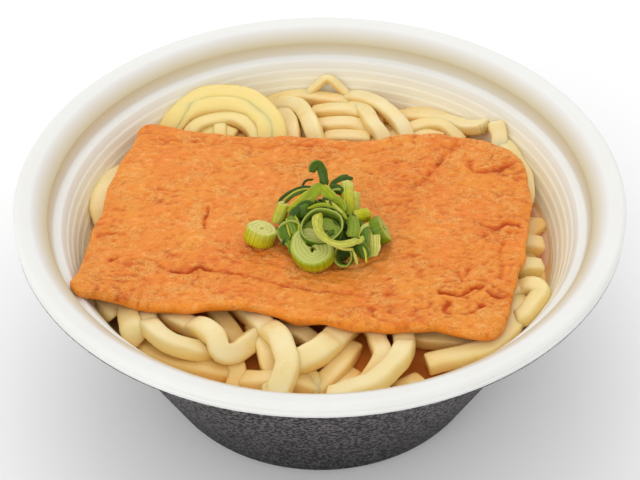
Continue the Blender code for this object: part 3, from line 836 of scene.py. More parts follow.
STRANDS = (                        # points along each strand, its width, its twist in degrees
    # front left, against the wall
    (((-63, -29, 51), (-63, -34, 54), (-62.5, -38, 54.5), (-63, -41, 53)), 6.0, 0),
    (((-55, -28, 50), (-55, -34, 53), (-54, -41, 55), (-53, -45, 55), (-53, -49, 52)), 6.6, 15),
    (((-52, -29, 50), (-50, -36, 53), (-48, -44, 56), (-45, -49, 56.5), (-41, -52, 56), (-36, -53, 55),
      (-32, -52, 53), (-29, -50, 50)), 5.8, -10),
    (((-47, -32, 50), (-42, -39, 53), (-37, -43, 56), (-33, -47, 57.5), (-29, -51, 57.5), (-27.5, -55, 56),
      (-24, -54.5, 54.5), (-20, -50, 54), (-16, -43, 51)), 6.0, 20),
    (((-54, -42, 48.5), (-49, -48, 49.5), (-43, -52, 50), (-36, -55, 50), (-28, -57, 50),
      (-23, -56, 48.5)), 5.8, 0),
    (((-24, -48, 49), (-24, -54, 51), (-23, -58, 50.5), (-24, -62, 48.5)), 5.2, 0),
    # front middle
    (((-26, -29, 50), (-20, -37, 52.5), (-16, -44, 55.5), (-12, -50, 57), (-10, -56, 57.5), (-9, -61, 57),
      (-10, -65, 56), (-12, -69, 54), (-15, -72, 52)), 6.6, 0),
    (((-19, -40, 50), (-17, -47, 52.5), (-15, -53, 53), (-14, -57, 52), (-11, -61, 50)), 5.4, 0),
    (((-21, -60, 49.5), (-16, -62, 51.5), (-10, -62, 52), (-4, -63, 51), (1, -64, 49)), 5.6, 0),
    (((13, -34, 50), (8, -42, 53), (4, -49, 55.5), (0, -55, 56), (-5, -58, 55.5), (-9, -58, 54)), 7.4, -20),
    (((9, -48, 50), (6, -55, 51.5), (3, -60, 51.5), (-1, -64, 49.5)), 6.0, 10),
    (((-6, -57, 49.5), (-3, -61, 51), (0, -65, 49.5)), 5.6, 0),
    (((12, -68, 49), (6, -70, 50), (0, -71, 49.5)), 5.0, 0),
    (((-11, -40, 51), (-7, -44, 52.5), (-3.5, -47, 52.2), (0, -50, 50)), 5.6, 0),
    (((-31, -32, 50.5), (-29, -37, 51.5), (-26, -42, 51.5), (-23, -47, 50)), 5.4, 0),
    # front right
    (((13, -37, 50), (15, -44, 52.5), (16, -50, 54), (17, -55, 53.5), (15, -59, 52),
      (12, -62, 49.5)), 5.6, 0),
    (((22, -37, 50), (23, -45, 53), (23, -53, 55.5), (21, -59, 56.5), (18, -63, 56.5), (14, -67, 56),
      (8, -69, 55), (2, -70, 53)), 6.2, 0),
    (((9, -57, 48.5), (6, -61, 50), (3, -66, 49.5)), 5.4, 0),
    (((23, -43, 50), (29, -46, 51), (37, -47, 51), (46, -47, 50)), 5.4, 0),
    (((29, -57, 52), (33, -56, 52.5), (40, -55, 53.5), (46, -53, 54.5), (50, -50, 55), (54, -44, 55),
      (56, -37, 54), (57, -28, 51)), 5.8, 0),
    (((20, -65, 50), (23, -64, 51), (27, -61, 50)), 5.0, 0),
    # right
    (((51, -31, 53), (55, -30.5, 55), (58.5, -29.5, 56), (62, -31, 56.5), (63.3, -34.5, 56.5),
      (62.3, -38.5, 56.5), (59, -41.5, 56), (55.5, -42.5, 55)), 5.4, 0),
    (((53, -18, 51), (58, -20, 53.5), (62, -20, 54), (65, -20, 53)), 6.2, 0),
    (((54, -5, 50), (60, -7, 51.5), (64, -8, 52), (67, -8, 51)), 6.2, 0),
    (((57, -29, 50), (62, -27, 51), (66, -26, 50)), 5.6, 0),
    (((60, 38, 55), (63.5, 29, 55.5), (65.2, 22, 55.5), (65.2, 17, 54.5), (64.5, 12, 52.5),
      (61, 8, 50)), 5.6, 0),
    # left
    (((-67, 31, 52), (-69, 25, 53.5), (-70, 17, 54), (-69, 10, 53), (-67, 5, 51), (-64, 0, 48)), 6.2, 0),
    (((-62, 40, 50), (-65, 33, 50), (-67, 26, 49)), 5.6, 0),
    # back left loops
    (((-57, 46, 49), (-57, 51, 52), (-54, 54, 55), (-50, 56.5, 57), (-44, 59, 58.5), (-37, 61, 59.5),
      (-28.5, 61, 59.5), (-22.3, 58, 59.5), (-17.4, 52.5, 58.5), (-14.4, 47, 57), (-13, 40, 53)), 6.4, 0),
    (((-51, 44, 51), (-47, 51, 55), (-43, 54, 57.5), (-36, 56, 58.5), (-29, 56, 58.5), (-22, 53, 58),
      (-18, 47, 57), (-17, 40, 53)), 6.0, 0),
    (((-45, 43, 52), (-41, 49, 55), (-35, 51.5, 56), (-29, 52, 56.5), (-24, 49, 56), (-21, 45, 55),
      (-20, 39, 52)), 5.2, 0),
    (((-33, 54, 54), (-33, 48, 55), (-33, 41, 52)), 4.8, 0),
    (((-42, 42, 51), (-38, 47, 53), (-33, 48, 54), (-28, 46, 53)), 5.0, 0),
    (((-40, 63, 51), (-32, 67, 53), (-24, 68, 53), (-17, 66, 51)), 5.4, 0),
    # back middle
    (((-21, 66, 49.5), (-15, 65, 52), (-10, 63.5, 53.5), (-6, 60, 54.5), (-3.7, 54, 55), (-1.7, 47, 54.5),
      (-0.5, 42, 52)), 5.8, 0),
    (((-17, 64, 49), (-13, 61, 51.5), (-10, 55, 53), (-9, 49, 53), (-9, 43, 51)), 5.8, 0),
    (((-22, 66, 50), (-14, 69, 52), (-7, 69.5, 52.6), (0, 68.5, 52.4), (6, 67, 52.5),
      (13, 66, 51.5)), 5.2, 0),
    (((-2, 61, 51.5), (4, 60, 53.5), (10, 59, 54), (17, 57, 52.5)), 5.4, 0),
    (((-1, 54, 50.5), (5, 53, 52.5), (11, 52, 53), (18, 50, 51.5)), 6.0, 0),
    (((-7, 68, 51), (-2.5, 70.5, 54.5), (0.8, 71.6, 57.2), (3, 72.5, 58.8), (5.4, 71.4, 57.4),
      (9, 69.5, 54.5), (14, 66, 50.5)), 2.8, 0),
    (((2, 47.5, 50.5), (9, 46, 52.3), (17, 45, 52)), 6.0, 0),
    (((29, 47, 50.5), (35, 46.5, 52), (41, 44, 52)), 5.6, 0),
    # back right
    (((9, 69, 52), (14, 66, 54.5), (20, 60, 56), (25, 53, 56), (28, 48, 55), (30, 42, 52)), 5.2, 0),
    (((12, 65, 52), (16, 56, 55), (18, 49, 55.5), (21, 44, 54), (22, 39, 51)), 5.4, 0),
    (((23, 60, 49.5), (30, 58, 52), (37.5, 56, 53), (44, 52.5, 53.5), (49, 48.5, 54.5), (53, 46.5, 56),
      (57, 47, 57)), 5.2, 0),
    (((22, 46, 50), (28, 48.5, 52), (34, 50.8, 53), (39, 51, 53.5), (43.5, 48.5, 53.5),
      (47, 43, 52)), 5.2, 0),
    (((58, 33, 53), (59, 38, 56), (59, 42, 58), (59, 44.5, 60)), 5.6, 0),
    (((30, 62, 50), (38, 59, 52), (45, 55, 52), (51, 50, 50)), 5.4, 0),
)

lengths = np.linspace(-TOFU_HALF_LENGTH, TOFU_HALF_LENGTH, 90)
widths = np.linspace(-TOFU_HALF_WIDTH, TOFU_HALF_WIDTH, 60)
square = [(x, -TOFU_HALF_WIDTH) for x in lengths]
square += [(TOFU_HALF_LENGTH, y) for y in widths]
square += [(x, TOFU_HALF_WIDTH) for x in lengths[::-1]]
square += [(-TOFU_HALF_LENGTH, y) for y in widths[::-1]]
tofu_rim = np.array([tuple(tofu_plan(*round_corner(x, y))) for x, y in square])


def outside_tofu(x, y):
    """Distance to the slab's outline seen from above: above 0 outside it and below 0 under it."""
    ahead = np.roll(tofu_rim, -1, axis=0)
    crossing = (tofu_rim[:, 1] > y) != (ahead[:, 1] > y)
    rise = np.where(crossing, ahead[:, 1] - tofu_rim[:, 1], 1.0)
    cut = tofu_rim[:, 0] + (y - tofu_rim[:, 1]) / rise * (ahead[:, 0] - tofu_rim[:, 0])
    inside = np.count_nonzero(crossing & (x < cut)) % 2
    near = np.hypot(tofu_rim[:, 0] - x, tofu_rim[:, 1] - y).min()
    return -near if inside else near


def settle(route, width, depth):
    """Lowers a strand to pass under the tofu, and keeps it off the bowl's wall."""
    settled = []
    for x, y, z in route:
        ceiling = tofu_top(x, y) - TOFU_THICKNESS - depth / 2 - NOODLE_GAP
        ceiling += NOODLE_RISE * max(outside_tofu(x, y) - NOODLE_TUCK * width, 0.0)
        z = min(z, ceiling)
        limit = inner_wall(z) - width / 2 - NOODLE_GAP
        if z > LEDGE_HEIGHT:
            limit = LEDGE_INNER
        scale = min(limit / math.hypot(x, y), 1.0)
        settled.append((x * scale, y * scale, z))
    heights = [z for x, y, z in settled]
    soft = []
    for index, (x, y, z) in enumerate(settled):
        around = heights[max(index - 2, 0):index + 3]
        soft.append((x, y, min(z, sum(around) / len(around))))
    return soft


def squared(angle, half_width, half_depth, power):
    """A point of a soft-cornered square section."""
    across, up = math.cos(angle), math.sin(angle)
    across = math.copysign(abs(across) ** (2 / power), across) * half_width
    up = math.copysign(abs(up) ** (2 / power), up) * half_depth
    return across, up


def sweep(route, section, flat=Vector((0, 0, 1)), twist=0.0, cut=0.4):
    """
    Carries a section along a route, with its flat side kept towards flat at the start and turned by
    twist at the end. section(share) gives its points. Both ends are cut square with a soft edge.
    """
    route = [Vector(place) for place in route]
    tangents = []
    for index in range(len(route)):
        ahead = route[min(index + 1, len(route) - 1)]
        behind = route[max(index - 1, 0)]
        tangents.append((ahead - behind).normalized())
    up = (flat - flat.dot(tangents[0]) * tangents[0]).normalized()
    rings = []
    last = len(route) - 1
    for index, (centre, tangent) in enumerate(zip(route, tangents)):
        up = (up - up.dot(tangent) * tangent).normalized()
        turn = Matrix.Rotation(math.radians(twist) * index / last, 3, tangent)
        upright = turn @ up
        side = tangent.cross(upright)
        rings.append([centre + side * across + upright * rise for across, rise in section(index / last)])
    for end, ring, inwards in ((0, rings[0], tangents[0]), (last, rings[-1], -tangents[-1])):
        shrunk = [route[end] + (place - route[end]) * CUT_SHRINK for place in ring]
        if end == 0:
            rings[0] = [place + inwards * cut for place in ring]
            rings.insert(0, shrunk)
        else:
            rings[-1] = [place + inwards * cut for place in ring]
            rings.append(shrunk)
    sides = len(rings[0])
    places = [place for ring in rings for place in ring]
    faces = []
    for ring in range(len(rings) - 1):
        for corner in range(sides):
            following = (corner + 1) % sides
            low, high = ring * sides, (ring + 1) * sides
            faces.append((low + corner, low + following, high + following, high + corner))
    for ring, middle, order in ((0, route[0], -1), (len(rings) - 1, route[last], 1)):
        hub = len(places)
        places.append(middle)
        for corner in range(sides):
            following = (corner + 1) % sides
            pair = (ring * sides + corner, ring * sides + following)
            faces.append((*pair[::order], hub))
    return places, faces


def lay_noodle(bin_, points, width, twist, seed):
    """One strand, a little uneven in width and depth along its length."""
    depth = width * NOODLE_DEPTH / NOODLE_WIDTH
    route = settle(smooth_route(points, NOODLE_STEP), width, depth)

    def section(share):
        run = share * len(route) * NOODLE_STEP
        swell = 1 + NOODLE_SWELL * chance(run / 7, seed * 3.1, 0.0)
        points = []
        for side, angle in enumerate(NOODLE_ANGLES):
            dent = 1 + NOODLE_DENT * chance(run / 3.5, side * 0.7, seed * 1.7)
            half_width, half_depth = width / 2 * swell * dent, depth / 2 * dent / swell
            points.append(squared(angle, half_width, half_depth, NOODLE_SQUARENESS))
        return points

    places, faces = sweep(route, section, twist=twist)
    yellow = YELLOW_DRIFT * random.Random(seed).random()
    middle_x, middle_y = np.mean([place[:2] for place in route], axis=0)
    if middle_x < YELLOW_PART[0] and middle_y > YELLOW_PART[1]:
        yellow += YELLOW_MORE
    rings = (len(places) - 2) // NOODLE_SIDES
    crowns = [math.sin(angle) for angle in NOODLE_ANGLES] * rings
    bin_.add(places, faces, yellow=yellow, crown=crowns + [END_CROWN, END_CROWN])


noodle_bin = MeshBin()
for index, (points, width, twist) in enumerate(STRANDS):
    lay_noodle(noodle_bin, points, width, twist, index + 1)

# Further strands lie half sunk in the broth, in short curves round the bowl's sides and back.
SUNK_ROUNDS = ((34, 63.0, 48.2), (26, 54.0, 49.4), (18, 46.0, 50.0))     # how many, radius, height
SUNK_FREE = (-152, -18)            # bearings, in degrees, where the broth is left open in front
SUNK_REACH = 14.0                  # half the length of each
sunk = random.Random(41)
for count, radius, height in SUNK_ROUNDS:
    for place in range(count):
        bearing = 2 * math.pi * (place + sunk.uniform(-0.3, 0.3)) / count
        heading = bearing + math.pi / 2 + sunk.uniform(-0.9, 0.9)
        centre = Vector((radius * math.cos(bearing), radius * math.sin(bearing), 0.0))
        bend = sunk.uniform(-0.05, 0.05)
        points = []
        for share in (-1.0, -0.5, 0.0, 0.5, 1.0):
            reach = SUNK_REACH * share
            way = heading + bend * reach
            spot = centre + Vector((math.cos(way), math.sin(way), 0.0)) * reach
            points.append((spot.x, spot.y, height + sunk.uniform(-1.2, 1.0)))
        width, twist = sunk.uniform(5.4, 6.4), sunk.uniform(-40, 40)
        if not SUNK_FREE[0] < math.degrees(math.atan2(centre.y, centre.x)) < SUNK_FREE[1]:
            lay_noodle(noodle_bin, points, width, twist, 100 + place + count * 7)

NOODLE_CREAM = (0.820, 0.640, 0.290)
NOODLE_PALE = (0.850, 0.730, 0.430)
NOODLE_SIDE_SHADE = (0.900, 0.660, 0.220)        # painted shade on the strand's sides and underside, darker and more tan than its top
NOODLE_YELLOW = (0.840, 0.650, 0.190)
NOODLE_SOAKED_AND_SHADED = (0.900, 0.550, 0.160)      # broth soaked into the lower strands, with painted warm shade where they lie deep among the others: fully so up to this height above the broth
SOAK_SHADE_FULL = 1.2
SOAK_SHADE_NONE = 8.0                           # and not at all from this

noodle_material, tree = new_material("noodle", 0.3)
dough = place_mottle(tree, NOODLE_PALE, NOODLE_CREAM, 90.0, 0.2)
tinted = mix_colours(tree, read_attribute(tree, "yellow"), dough.outputs["Color"], NOODLE_YELLOW)
# Painted shade: each strand is darker and more tan towards its sides and underside than on its top.
crown = stretch_value(tree, read_attribute(tree, "crown"), -0.3, 0.8)
side_shaded = mix_colours(tree, crown, NOODLE_SIDE_SHADE, tinted)
in_bowl = new_node(tree, "TexCoord").outputs["Object"]
height = new_node(tree, "SeparateXYZ", {"Vector": in_bowl}).outputs["Z"]
# Lower down the strands turn tan: partly the broth soaked into them, partly painted warm shade among the
# lower strands.
above_soak_shade = stretch_value(tree, height, (BROTH_LEVEL + SOAK_SHADE_FULL) * MM, (BROTH_LEVEL + SOAK_SHADE_NONE) * MM)
set_shader(
    tree, Base_Color=mix_colours(tree, above_soak_shade, NOODLE_SOAKED_AND_SHADED, side_shaded), Specular_IOR_Level=0.35,
    Subsurface_Weight=0.35, Subsurface_Radius=(1.0, 0.60, 0.25), Subsurface_Scale=1.6 * MM,
    Coat_Weight=0.25, Coat_Roughness=0.15,
)
vary_roughness(tree, dough.outputs["Mask"], 0.24, 0.40)
add_bump(tree, grain(tree, 420.0, 3.0), 0.22, 0.3 * MM)

noodles = add_piece("noodle_strands", noodle_bin.to_mesh("noodle_strands"), noodle_material)
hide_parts("noodles")
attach(noodles, "root")

# ----------------------------------------
# The heart of the noodle heap. The strands packed under the tofu show nowhere, so one low cake
# of the same dough stands for them and carries the tofu.
# ----------------------------------------
CAKE_CELLS = 90
CAKE_INSET = 9.0
CAKE_FOOT = BROTH_LEVEL - 3.0
CAKE_WALL = 3.0
CAKE_GAP = 1.2                     # kept to the tofu
CAKE_GROOVES = 1.6                 # depth between its strands
CAKE_SHOULDER = 4.0                # how wide its edge slopes down


def build_cake():
    shape = bmesh.new()
    bmesh.ops.create_grid(shape, x_segments=CAKE_CELLS, y_segments=CAKE_CELLS * 2 // 3, size=1.0)
    for vert in shape.verts:
        inset_x = vert.co.x * (TOFU_HALF_LENGTH - CAKE_INSET)
        inset_y = vert.co.y * (TOFU_HALF_WIDTH - CAKE_INSET)
        edge = edge_inset(inset_x, inset_y) - CAKE_INSET
        plan = tofu_plan(*round_corner(inset_x, inset_y))
        under = tofu_top(plan.x, plan.y) - TOFU_THICKNESS - CAKE_GAP
        strand = abs(math.sin((plan.x * 0.5 + plan.y * 0.8 + 4 * wave(plan.x, plan.y, 18.0, 1.3)) * 0.48))
        crown = 1 - math.exp(-edge / CAKE_SHOULDER)
        height = CAKE_FOOT + (under - CAKE_FOOT - CAKE_GROOVES * (1 - strand)) * crown
        vert.co = Vector((plan.x, plan.y, height)) * MM
    rim = [edge for edge in shape.edges if edge.is_boundary]
    walls = bmesh.ops.extrude_edge_only(shape, edges=rim)["geom"]
    for item in walls:
        if isinstance(item, bmesh.types.BMVert):
            item.co.z = (CAKE_FOOT - CAKE_WALL) * MM
    bmesh.ops.holes_fill(shape, edges=[edge for edge in shape.edges if edge.is_boundary])
    bmesh.ops.recalc_face_normals(shape, faces=shape.faces)
    return keep_mesh("noodle_cake", shape)


cake = add_piece("noodle_cake", build_cake(), noodle_material)
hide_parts("noodles")
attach(cake, "root")

# ----------------------------------------
# The scallions. Thin green onions are sliced across: the leaf gives dark hollow rings and loose
# strips, the stem gives pale rings. They are dropped in a small heap on the tofu.
# ----------------------------------------
LEAF_DARK = (0.038, 0.084, 0.003)
LEAF_GREEN = (0.140, 0.260, 0.008)
LEAF_LIME = (0.420, 0.480, 0.012)
STEM_YELLOW = (0.690, 0.640, 0.020)
STEM_PALE = (0.650, 0.630, 0.120)
STEM_WHITE = (0.790, 0.730, 0.300)
LEAF_CUT = (0.270, 0.360, 0.025)
STEM_CUT = (0.820, 0.750, 0.280)
VEIN_SHADE = (0.60, 0.62, 0.22)            # what the veins and the blotches let through of the skin's colour
BLOTCH_SHADE = (0.72, 0.74, 0.45)
TONES = ((0.25, LEAF_GREEN), (0.48, LEAF_LIME), (0.64, STEM_YELLOW), (0.82, STEM_PALE))

SLICES = (     # centre, axis, outer radius, wall, length, tone at both ends: 0 dark leaf, 1 white stem
    ((0.6, -18.0, 68.0), (0.05, -0.25, 0.97), 6.2, 0.6, 3.6, 0.08, 0.18),
    ((0.6, -18.0, 66.6), (0.05, -0.25, 0.97), 5.7, 5.5, 0.8, 0.04, 0.04),
    ((-2.3, -23.8, 65.0), (-0.12, -0.24, 0.96), 6.6, 5.6, 4.0, 0.58, 0.46),
    ((7.1, -25.2, 64.2), (-0.35, -0.8, 0.5), 3.2, 0.7, 4.0, 0.08, 0.10),
    ((8.2, -6.0, 68.2), (0.0, 0.95, 0.32), 2.1, 1.2, 12.0, 0.38, 0.96),
    ((10.6, -4.9, 66.8), (0.0, 0.75, 0.66), 1.7, 1.0, 6.0, 0.85, 0.90),
    ((12.0, -10.8, 66.5), (0.88, 0.44, -0.15), 2.2, 1.6, 4.8, 0.63, 0.66),
    ((-11.5, -8.6, 66.0), (0.35, 0.5, 0.8), 2.1, 1.4, 6.0, 0.82, 0.72),
    ((13.6, -16.6, 65.4), (0.15, -0.75, 0.65), 2.6, 1.2, 3.0, 0.45, 0.60),
    ((-7.8, -16.5, 64.6), (-0.5, -0.4, 0.75), 4.2, 0.8, 4.0, 0.15, 0.22),
    ((-4.5, -7.0, 66.5), (-0.3, 0.5, 0.8), 4.4, 0.8, 3.6, 0.10, 0.20),
    ((4.6, -5.6, 67.6), (0.3, -0.5, 0.8), 3.8, 0.8, 3.6, 0.12, 0.25),
)
LEAVES = (     # points along each strip of leaf, width, thickness, tone
    # the pale band that crosses the dark ring and frays at its end
    (((0.4, -13.4, 69.8), (-0.6, -17.0, 70.7), (-0.6, -21.0, 71.0), (1.2, -24.8, 70.4), (4.6, -26.4, 69.6),
      (8.0, -25.4, 68.8), (10.8, -22.6, 67.8)), 3.5, 0.2, 0.80),
    (((3.4, -26.6, 69.4), (6.4, -27.4, 68.6), (9.4, -26.6, 67.6)), 0.9, 0.3, 0.88),
    (((9.4, -24.6, 68.4), (11.6, -23.4, 67.9), (12.4, -21.2, 67.6)), 1.4, 0.3, 0.82),
    # right of the ring
    (((9.0, -21.8, 67.2), (11.6, -24.0, 66.2), (13.2, -26.6, 64.2)), 3.6, 0.4, 0.14),
    (((7.4, -24.4, 67.6), (9.6, -26.8, 66.2), (10.6, -29.0, 63.8)), 0.9, 0.3, 0.85),
    (((11.4, -22.6, 67.2), (12.8, -25.4, 65.9), (13.2, -28.0, 63.6)), 0.6, 0.25, 0.70),
    (((13.2, -14.6, 66.6), (14.7, -19.5, 65.8), (15.0, -25.6, 63.6)), 5.4, 0.3, 0.92),
    (((8.8, -12.6, 68.2), (9.8, -16.5, 67.6), (9.2, -20.5, 66.8)), 3.6, 0.4, 0.36),
    (((10.2, -13.0, 67.6), (11.2, -17.5, 67.0), (10.8, -22.0, 66.4)), 1.0, 0.3, 0.58),
    (((11.4, -13.6, 66.6), (12.8, -18.5, 66.4), (12.6, -23.0, 65.4)), 3.2, 0.4, 0.24),
    # behind the ring
    (((-5.4, -10.6, 68.8), (-3.2, -7.6, 70.6), (-0.6, -4.6, 72.2), (0.6, -4.2, 72.4)), 3.6, 0.3, 0.42),
    (((0.2, -4.0, 72.4), (2.2, -6.4, 71.8), (4.4, -9.2, 70.8)), 3.4, 0.3, 0.46),
    (((0.4, -3.2, 72.6), (2.8, -5.8, 72.0), (5.6, -8.4, 70.8)), 0.7, 0.3, 0.86),
    (((-9.4, -9.8, 67.2), (-5.6, -6.8, 69.4), (-2.0, -4.0, 70.8)), 2.4, 0.3, 0.60),
    (((-8.8, -12.4, 66.6), (-5.6, -10.4, 69.2), (-2.2, -9.4, 70.4)), 3.4, 0.3, 0.05),
    (((-8.4, -10.4, 68.0), (-5.0, -8.6, 70.0), (-2.4, -7.6, 71.0)), 0.7, 0.3, 0.84),
    (((-3.6, -11.6, 70.2), (0.8, -10.8, 71.0), (5.2, -12.0, 70.4), (7.8, -15.2, 69.2)), 1.2, 0.3, 0.46),
    (((3.2, -8.6, 71.0), (5.8, -9.6, 71.0), (7.2, -12.6, 70.0)), 2.6, 0.3, 0.40),
    (((1.6, -9.4, 71.3), (4.2, -10.9, 71.1), (6.6, -13.6, 70.1)), 0.8, 0.3, 0.88),
    (((0.8, -8.2, 71.4), (2.4, -9.4, 71.4), (3.4, -11.2, 71.0)), 1.0, 0.25, 0.02),
    # the heap's left
    (((-10.6, -12.6, 66.0), (-9.8, -16.5, 65.4), (-8.0, -20.2, 64.2)), 4.0, 0.35, 0.18),
    (((-8.6, -11.6, 67.6), (-7.8, -15.0, 67.2), (-6.8, -18.8, 66.4)), 2.8, 0.3, 0.30),
    (((-9.8, -12.0, 67.0), (-9.4, -15.4, 66.4), (-8.6, -18.4, 65.4)), 0.6, 0.25, 0.66),
    (((-7.2, -12.0, 68.0), (-6.2, -15.6, 67.8), (-6.2, -19.0, 66.6)), 0.6, 0.25, 0.56),
    (((-12.8, -13.4, 63.6), (-10.8, -14.2, 64.6), (-8.6, -13.6, 65.6)), 1.2, 0.3, 0.02),
    # thin curls and a wisp behind
    (((-1.7, 1.9, 70.2), (-4.0, 1.2, 70.4), (-5.4, -0.6, 69.2)), 0.7, 0.3, 0.0),
    (((-2.4, -1.6, 70.4), (-6.7, -1.6, 69.4), (-10.6, -2.3, 67.2), (-12.6, -3.4, 65.0)), 1.2, 0.3, 0.02),
    (((-3.4, -2.8, 70.0), (-7.4, -3.2, 68.6), (-10.4, -4.6, 66.6)), 1.0, 0.3, 0.16),
    (((-3.0, -2.2, 70.3), (-7.0, -2.4, 69.2), (-11.0, -3.6, 66.8)), 0.5, 0.25, 0.70),
    (((3.0, -1.6, 70.6), (6.1, 1.0, 71.0), (10.0, 2.6, 70.0)), 1.6, 0.3, 0.04),
    (((3.6, -0.6, 70.8), (6.4, 2.0, 71.2), (8.6, 3.0, 70.8)), 0.8, 0.3, 0.12),
    (((2.6, -3.6, 71.0), (5.2, -2.8, 70.8), (7.0, -4.4, 70.0)), 2.2, 0.3, 0.08),
)
LAYER = 1.2                        # a stem's wall grows in layers about this thick
CUT_MARGIN = 0.12                  # share of the wall outside and inside them, where the cut edge is rounded
RING_SIDES = 44
RING_UNEVEN = 0.10                 # share by which a slice's outline wanders
RING_OVAL = 0.08
RING_SLANT = 0.12
WALL_UNEVEN = 0.25
WALL_MOST = 0.96                   # share of the radius that the wall may take up
LEAF_STEP = 0.5
LEAF_SPANS = (-1.0, -0.86, -0.5, -0.17, 0.17, 0.5, 0.86, 1.0)      # across a strip's half width
LEAF_CUP = 0.06                    # how deep a strip is curved, as a share of its width
LEAF_EDGE_SKIN = 0.45              # how far a strip's cut edge still counts as skin
VEIN_SHIFT = 7.0                   # sets one piece's veins apart from the next one's
MOUND = (10.5, 12.0, 5.0)          # half width, half depth and height of the heap's hidden heart
MOUND_LUMPS = 0.15
MOUND_CENTRE = (1.6, -13.4)
FILL_COUNT = 70                    # strips that fill in between the listed ones
FILL_TONES = (0.02, 0.10, 0.20, 0.30, 0.40, 0.60)
VIEWED_FROM = Vector((0.0, -0.75, 0.66))    # the side that most strips turn their flat to


def wall_section(wall):
    """Once round a cut wall: (share of the length, share of the wall inwards, how much it is skin)."""
    face = []
    layers = max(int(wall / LAYER), 1)
    span = (1 - 2 * CUT_MARGIN) / layers
    for layer in range(layers):
        start, end = CUT_MARGIN + span * layer, CUT_MARGIN + span * (layer + 1)
        face += [(0.5, start + 0.25 * (end - start), 0.0), (0.5, start + 0.8 * (end - start), 0.1)]
        if layer + 1 < layers:
            face.append((0.46, end, 0.40))
    line = [(-0.5, 0.10, 0.6)] + [(along, 0.0, 1.0) for along in (-0.44, -0.15, 0.15, 0.44)]
    line += [(0.5, 0.10, 0.6)] + face + [(0.42, 1.0, 0.3), (0.0, 1.0, 0.8), (-0.42, 1.0, 0.3)]
    return line + [(-along, inwards, skin) for along, inwards, skin in reversed(face)]


def ring_slice(bin_, centre, axis, radius, wall, length, tone_low, tone_high, seed):
    """A hollow slice: outer skin, cut ends and inner skin, a little oval and uneven."""
    axis = Vector(axis).normalized()
    side = axis.orthogonal().normalized()
    upright = axis.cross(side)
    line = wall_section(wall)
    places, skins, tones, veins = [], [], [], []
    for step in range(RING_SIDES):
        angle = 2 * math.pi * step / RING_SIDES
        over, up = math.cos(angle), math.sin(angle)
        out = side * over + upright * up
        swell = 1 + RING_UNEVEN * chance(over * 1.2, up * 1.2, seed)
        swell *= 1 + RING_OVAL * math.cos(2 * angle + seed)
        slant = RING_SLANT * chance(over, up, seed + 5.0)
        thickness = wall * (1 + WALL_UNEVEN * chance(over * 2, up * 2, seed + 9.0))
        for along, inwards, skin in line:
            reach = radius * swell - min(thickness, radius * WALL_MOST) * inwards
            places.append(Vector(centre) + out * reach + axis * length * (along + slant))
            skins.append(skin)
            tones.append(tone_low + (tone_high - tone_low) * (along + 0.5))
            veins.append(seed * VEIN_SHIFT + abs(math.pi - angle) * radius)
    faces = []
    around = len(line)
    for step in range(RING_SIDES):
        low, high = step * around, ((step + 1) % RING_SIDES) * around
        for index in range(around):
            following = (index + 1) % around
            faces.append((low + index, high + index, high + following, low + following))
    bin_.add(places, faces, tone=tones, skin=skins, vein=veins)


def leaf_strip(bin_, points, width, thickness, tone, seed):
    """A flat strip of leaf, curved across like the tube that it was cut from, with paler cut edges."""
    route = smooth_route(points, LEAF_STEP)

    def section(share):
        taper = min(1.0, 0.30 + 4.0 * share, 0.60 + 3.0 * (1 - share))
        taper *= 1 + 0.16 * chance(share * 5.0, seed, 0.0)
        line = []
        for layer, order in ((0.5, 1), (-0.5, -1)):
            for place in LEAF_SPANS[::order]:
                cup = LEAF_CUP * width * (1 - place * place)
                line.append((place * width / 2 * taper, layer * thickness * (1 - 0.4 * abs(place)) + cup))
        return line[::-1]

    places, faces = sweep(route, section, flat=VIEWED_FROM, twist=22.0 * math.sin(seed * 2.3), cut=0.1)
    across = (LEAF_SPANS + LEAF_SPANS[::-1])[::-1]
    rings = (len(places) - 2) // len(across)
    skins = [LEAF_EDGE_SKIN if abs(place) > 0.9 else 1.0 for place in across] * rings
    start = seed * VEIN_SHIFT
    veins = [start + place * width / 2 for place in across] * rings
    bin_.add(places, faces, tone=tone, skin=skins + [LEAF_EDGE_SKIN] * 2, vein=veins + [start] * 2)


scallion_bin = MeshBin()
mound = bmesh.new()
bmesh.ops.create_uvsphere(mound, u_segments=32, v_segments=16, radius=1.0)
mound_places = []
for vert in mound.verts:
    x = MOUND_CENTRE[0] + MOUND[0] * vert.co.x
    y = MOUND_CENTRE[1] + MOUND[1] * vert.co.y
    lump = 1 + MOUND_LUMPS * wave(x, y, 2.0, 3.3)
    mound_places.append((x, y, tofu_top(x, y) + 0.2 + MOUND[2] * lump * max(vert.co.z, -0.1)))
mound_faces = [tuple(vert.index for vert in face.verts) for face in mound.faces]
mound.free()
mound_veins = [5.0 * place[0] for place in mound_places]
scallion_bin.add(mound_places, mound_faces, tone=0.06, skin=1.0, vein=mound_veins)
fill = random.Random(23)
for index in range(FILL_COUNT):
    turn, reach = fill.uniform(0, 2 * math.pi), math.sqrt(fill.random())
    x = MOUND_CENTRE[0] + (MOUND[0] + 1.0) * reach * math.cos(turn)
    y = MOUND_CENTRE[1] + (MOUND[1] + 1.0) * reach * math.sin(turn)
    middle = Vector((x, y, tofu_top(x, y) + 0.8 + MOUND[2] * math.sqrt(1 - 0.9 * reach ** 2)))
    heading = fill.uniform(0, 2 * math.pi)
    run = Vector((math.cos(heading), math.sin(heading), fill.uniform(-0.25, 0.25))) * fill.uniform(1.5, 3.0)
    points = (middle - run, middle + Vector((0, 0, 0.6)), middle + run)
    tone = fill.choice(FILL_TONES)
    leaf_strip(scallion_bin, points, fill.uniform(1.4, 2.8), 0.3, tone, index + 0.5)
for index, (centre, axis, radius, wall, length, tone_low, tone_high) in enumerate(SLICES):
    ring_slice(scallion_bin, centre, axis, radius, wall, length, tone_low, tone_high, index * 1.7)
for index, (points, width, thickness, tone) in enumerate(LEAVES):
    leaf_strip(scallion_bin, points, width, thickness, tone, index)

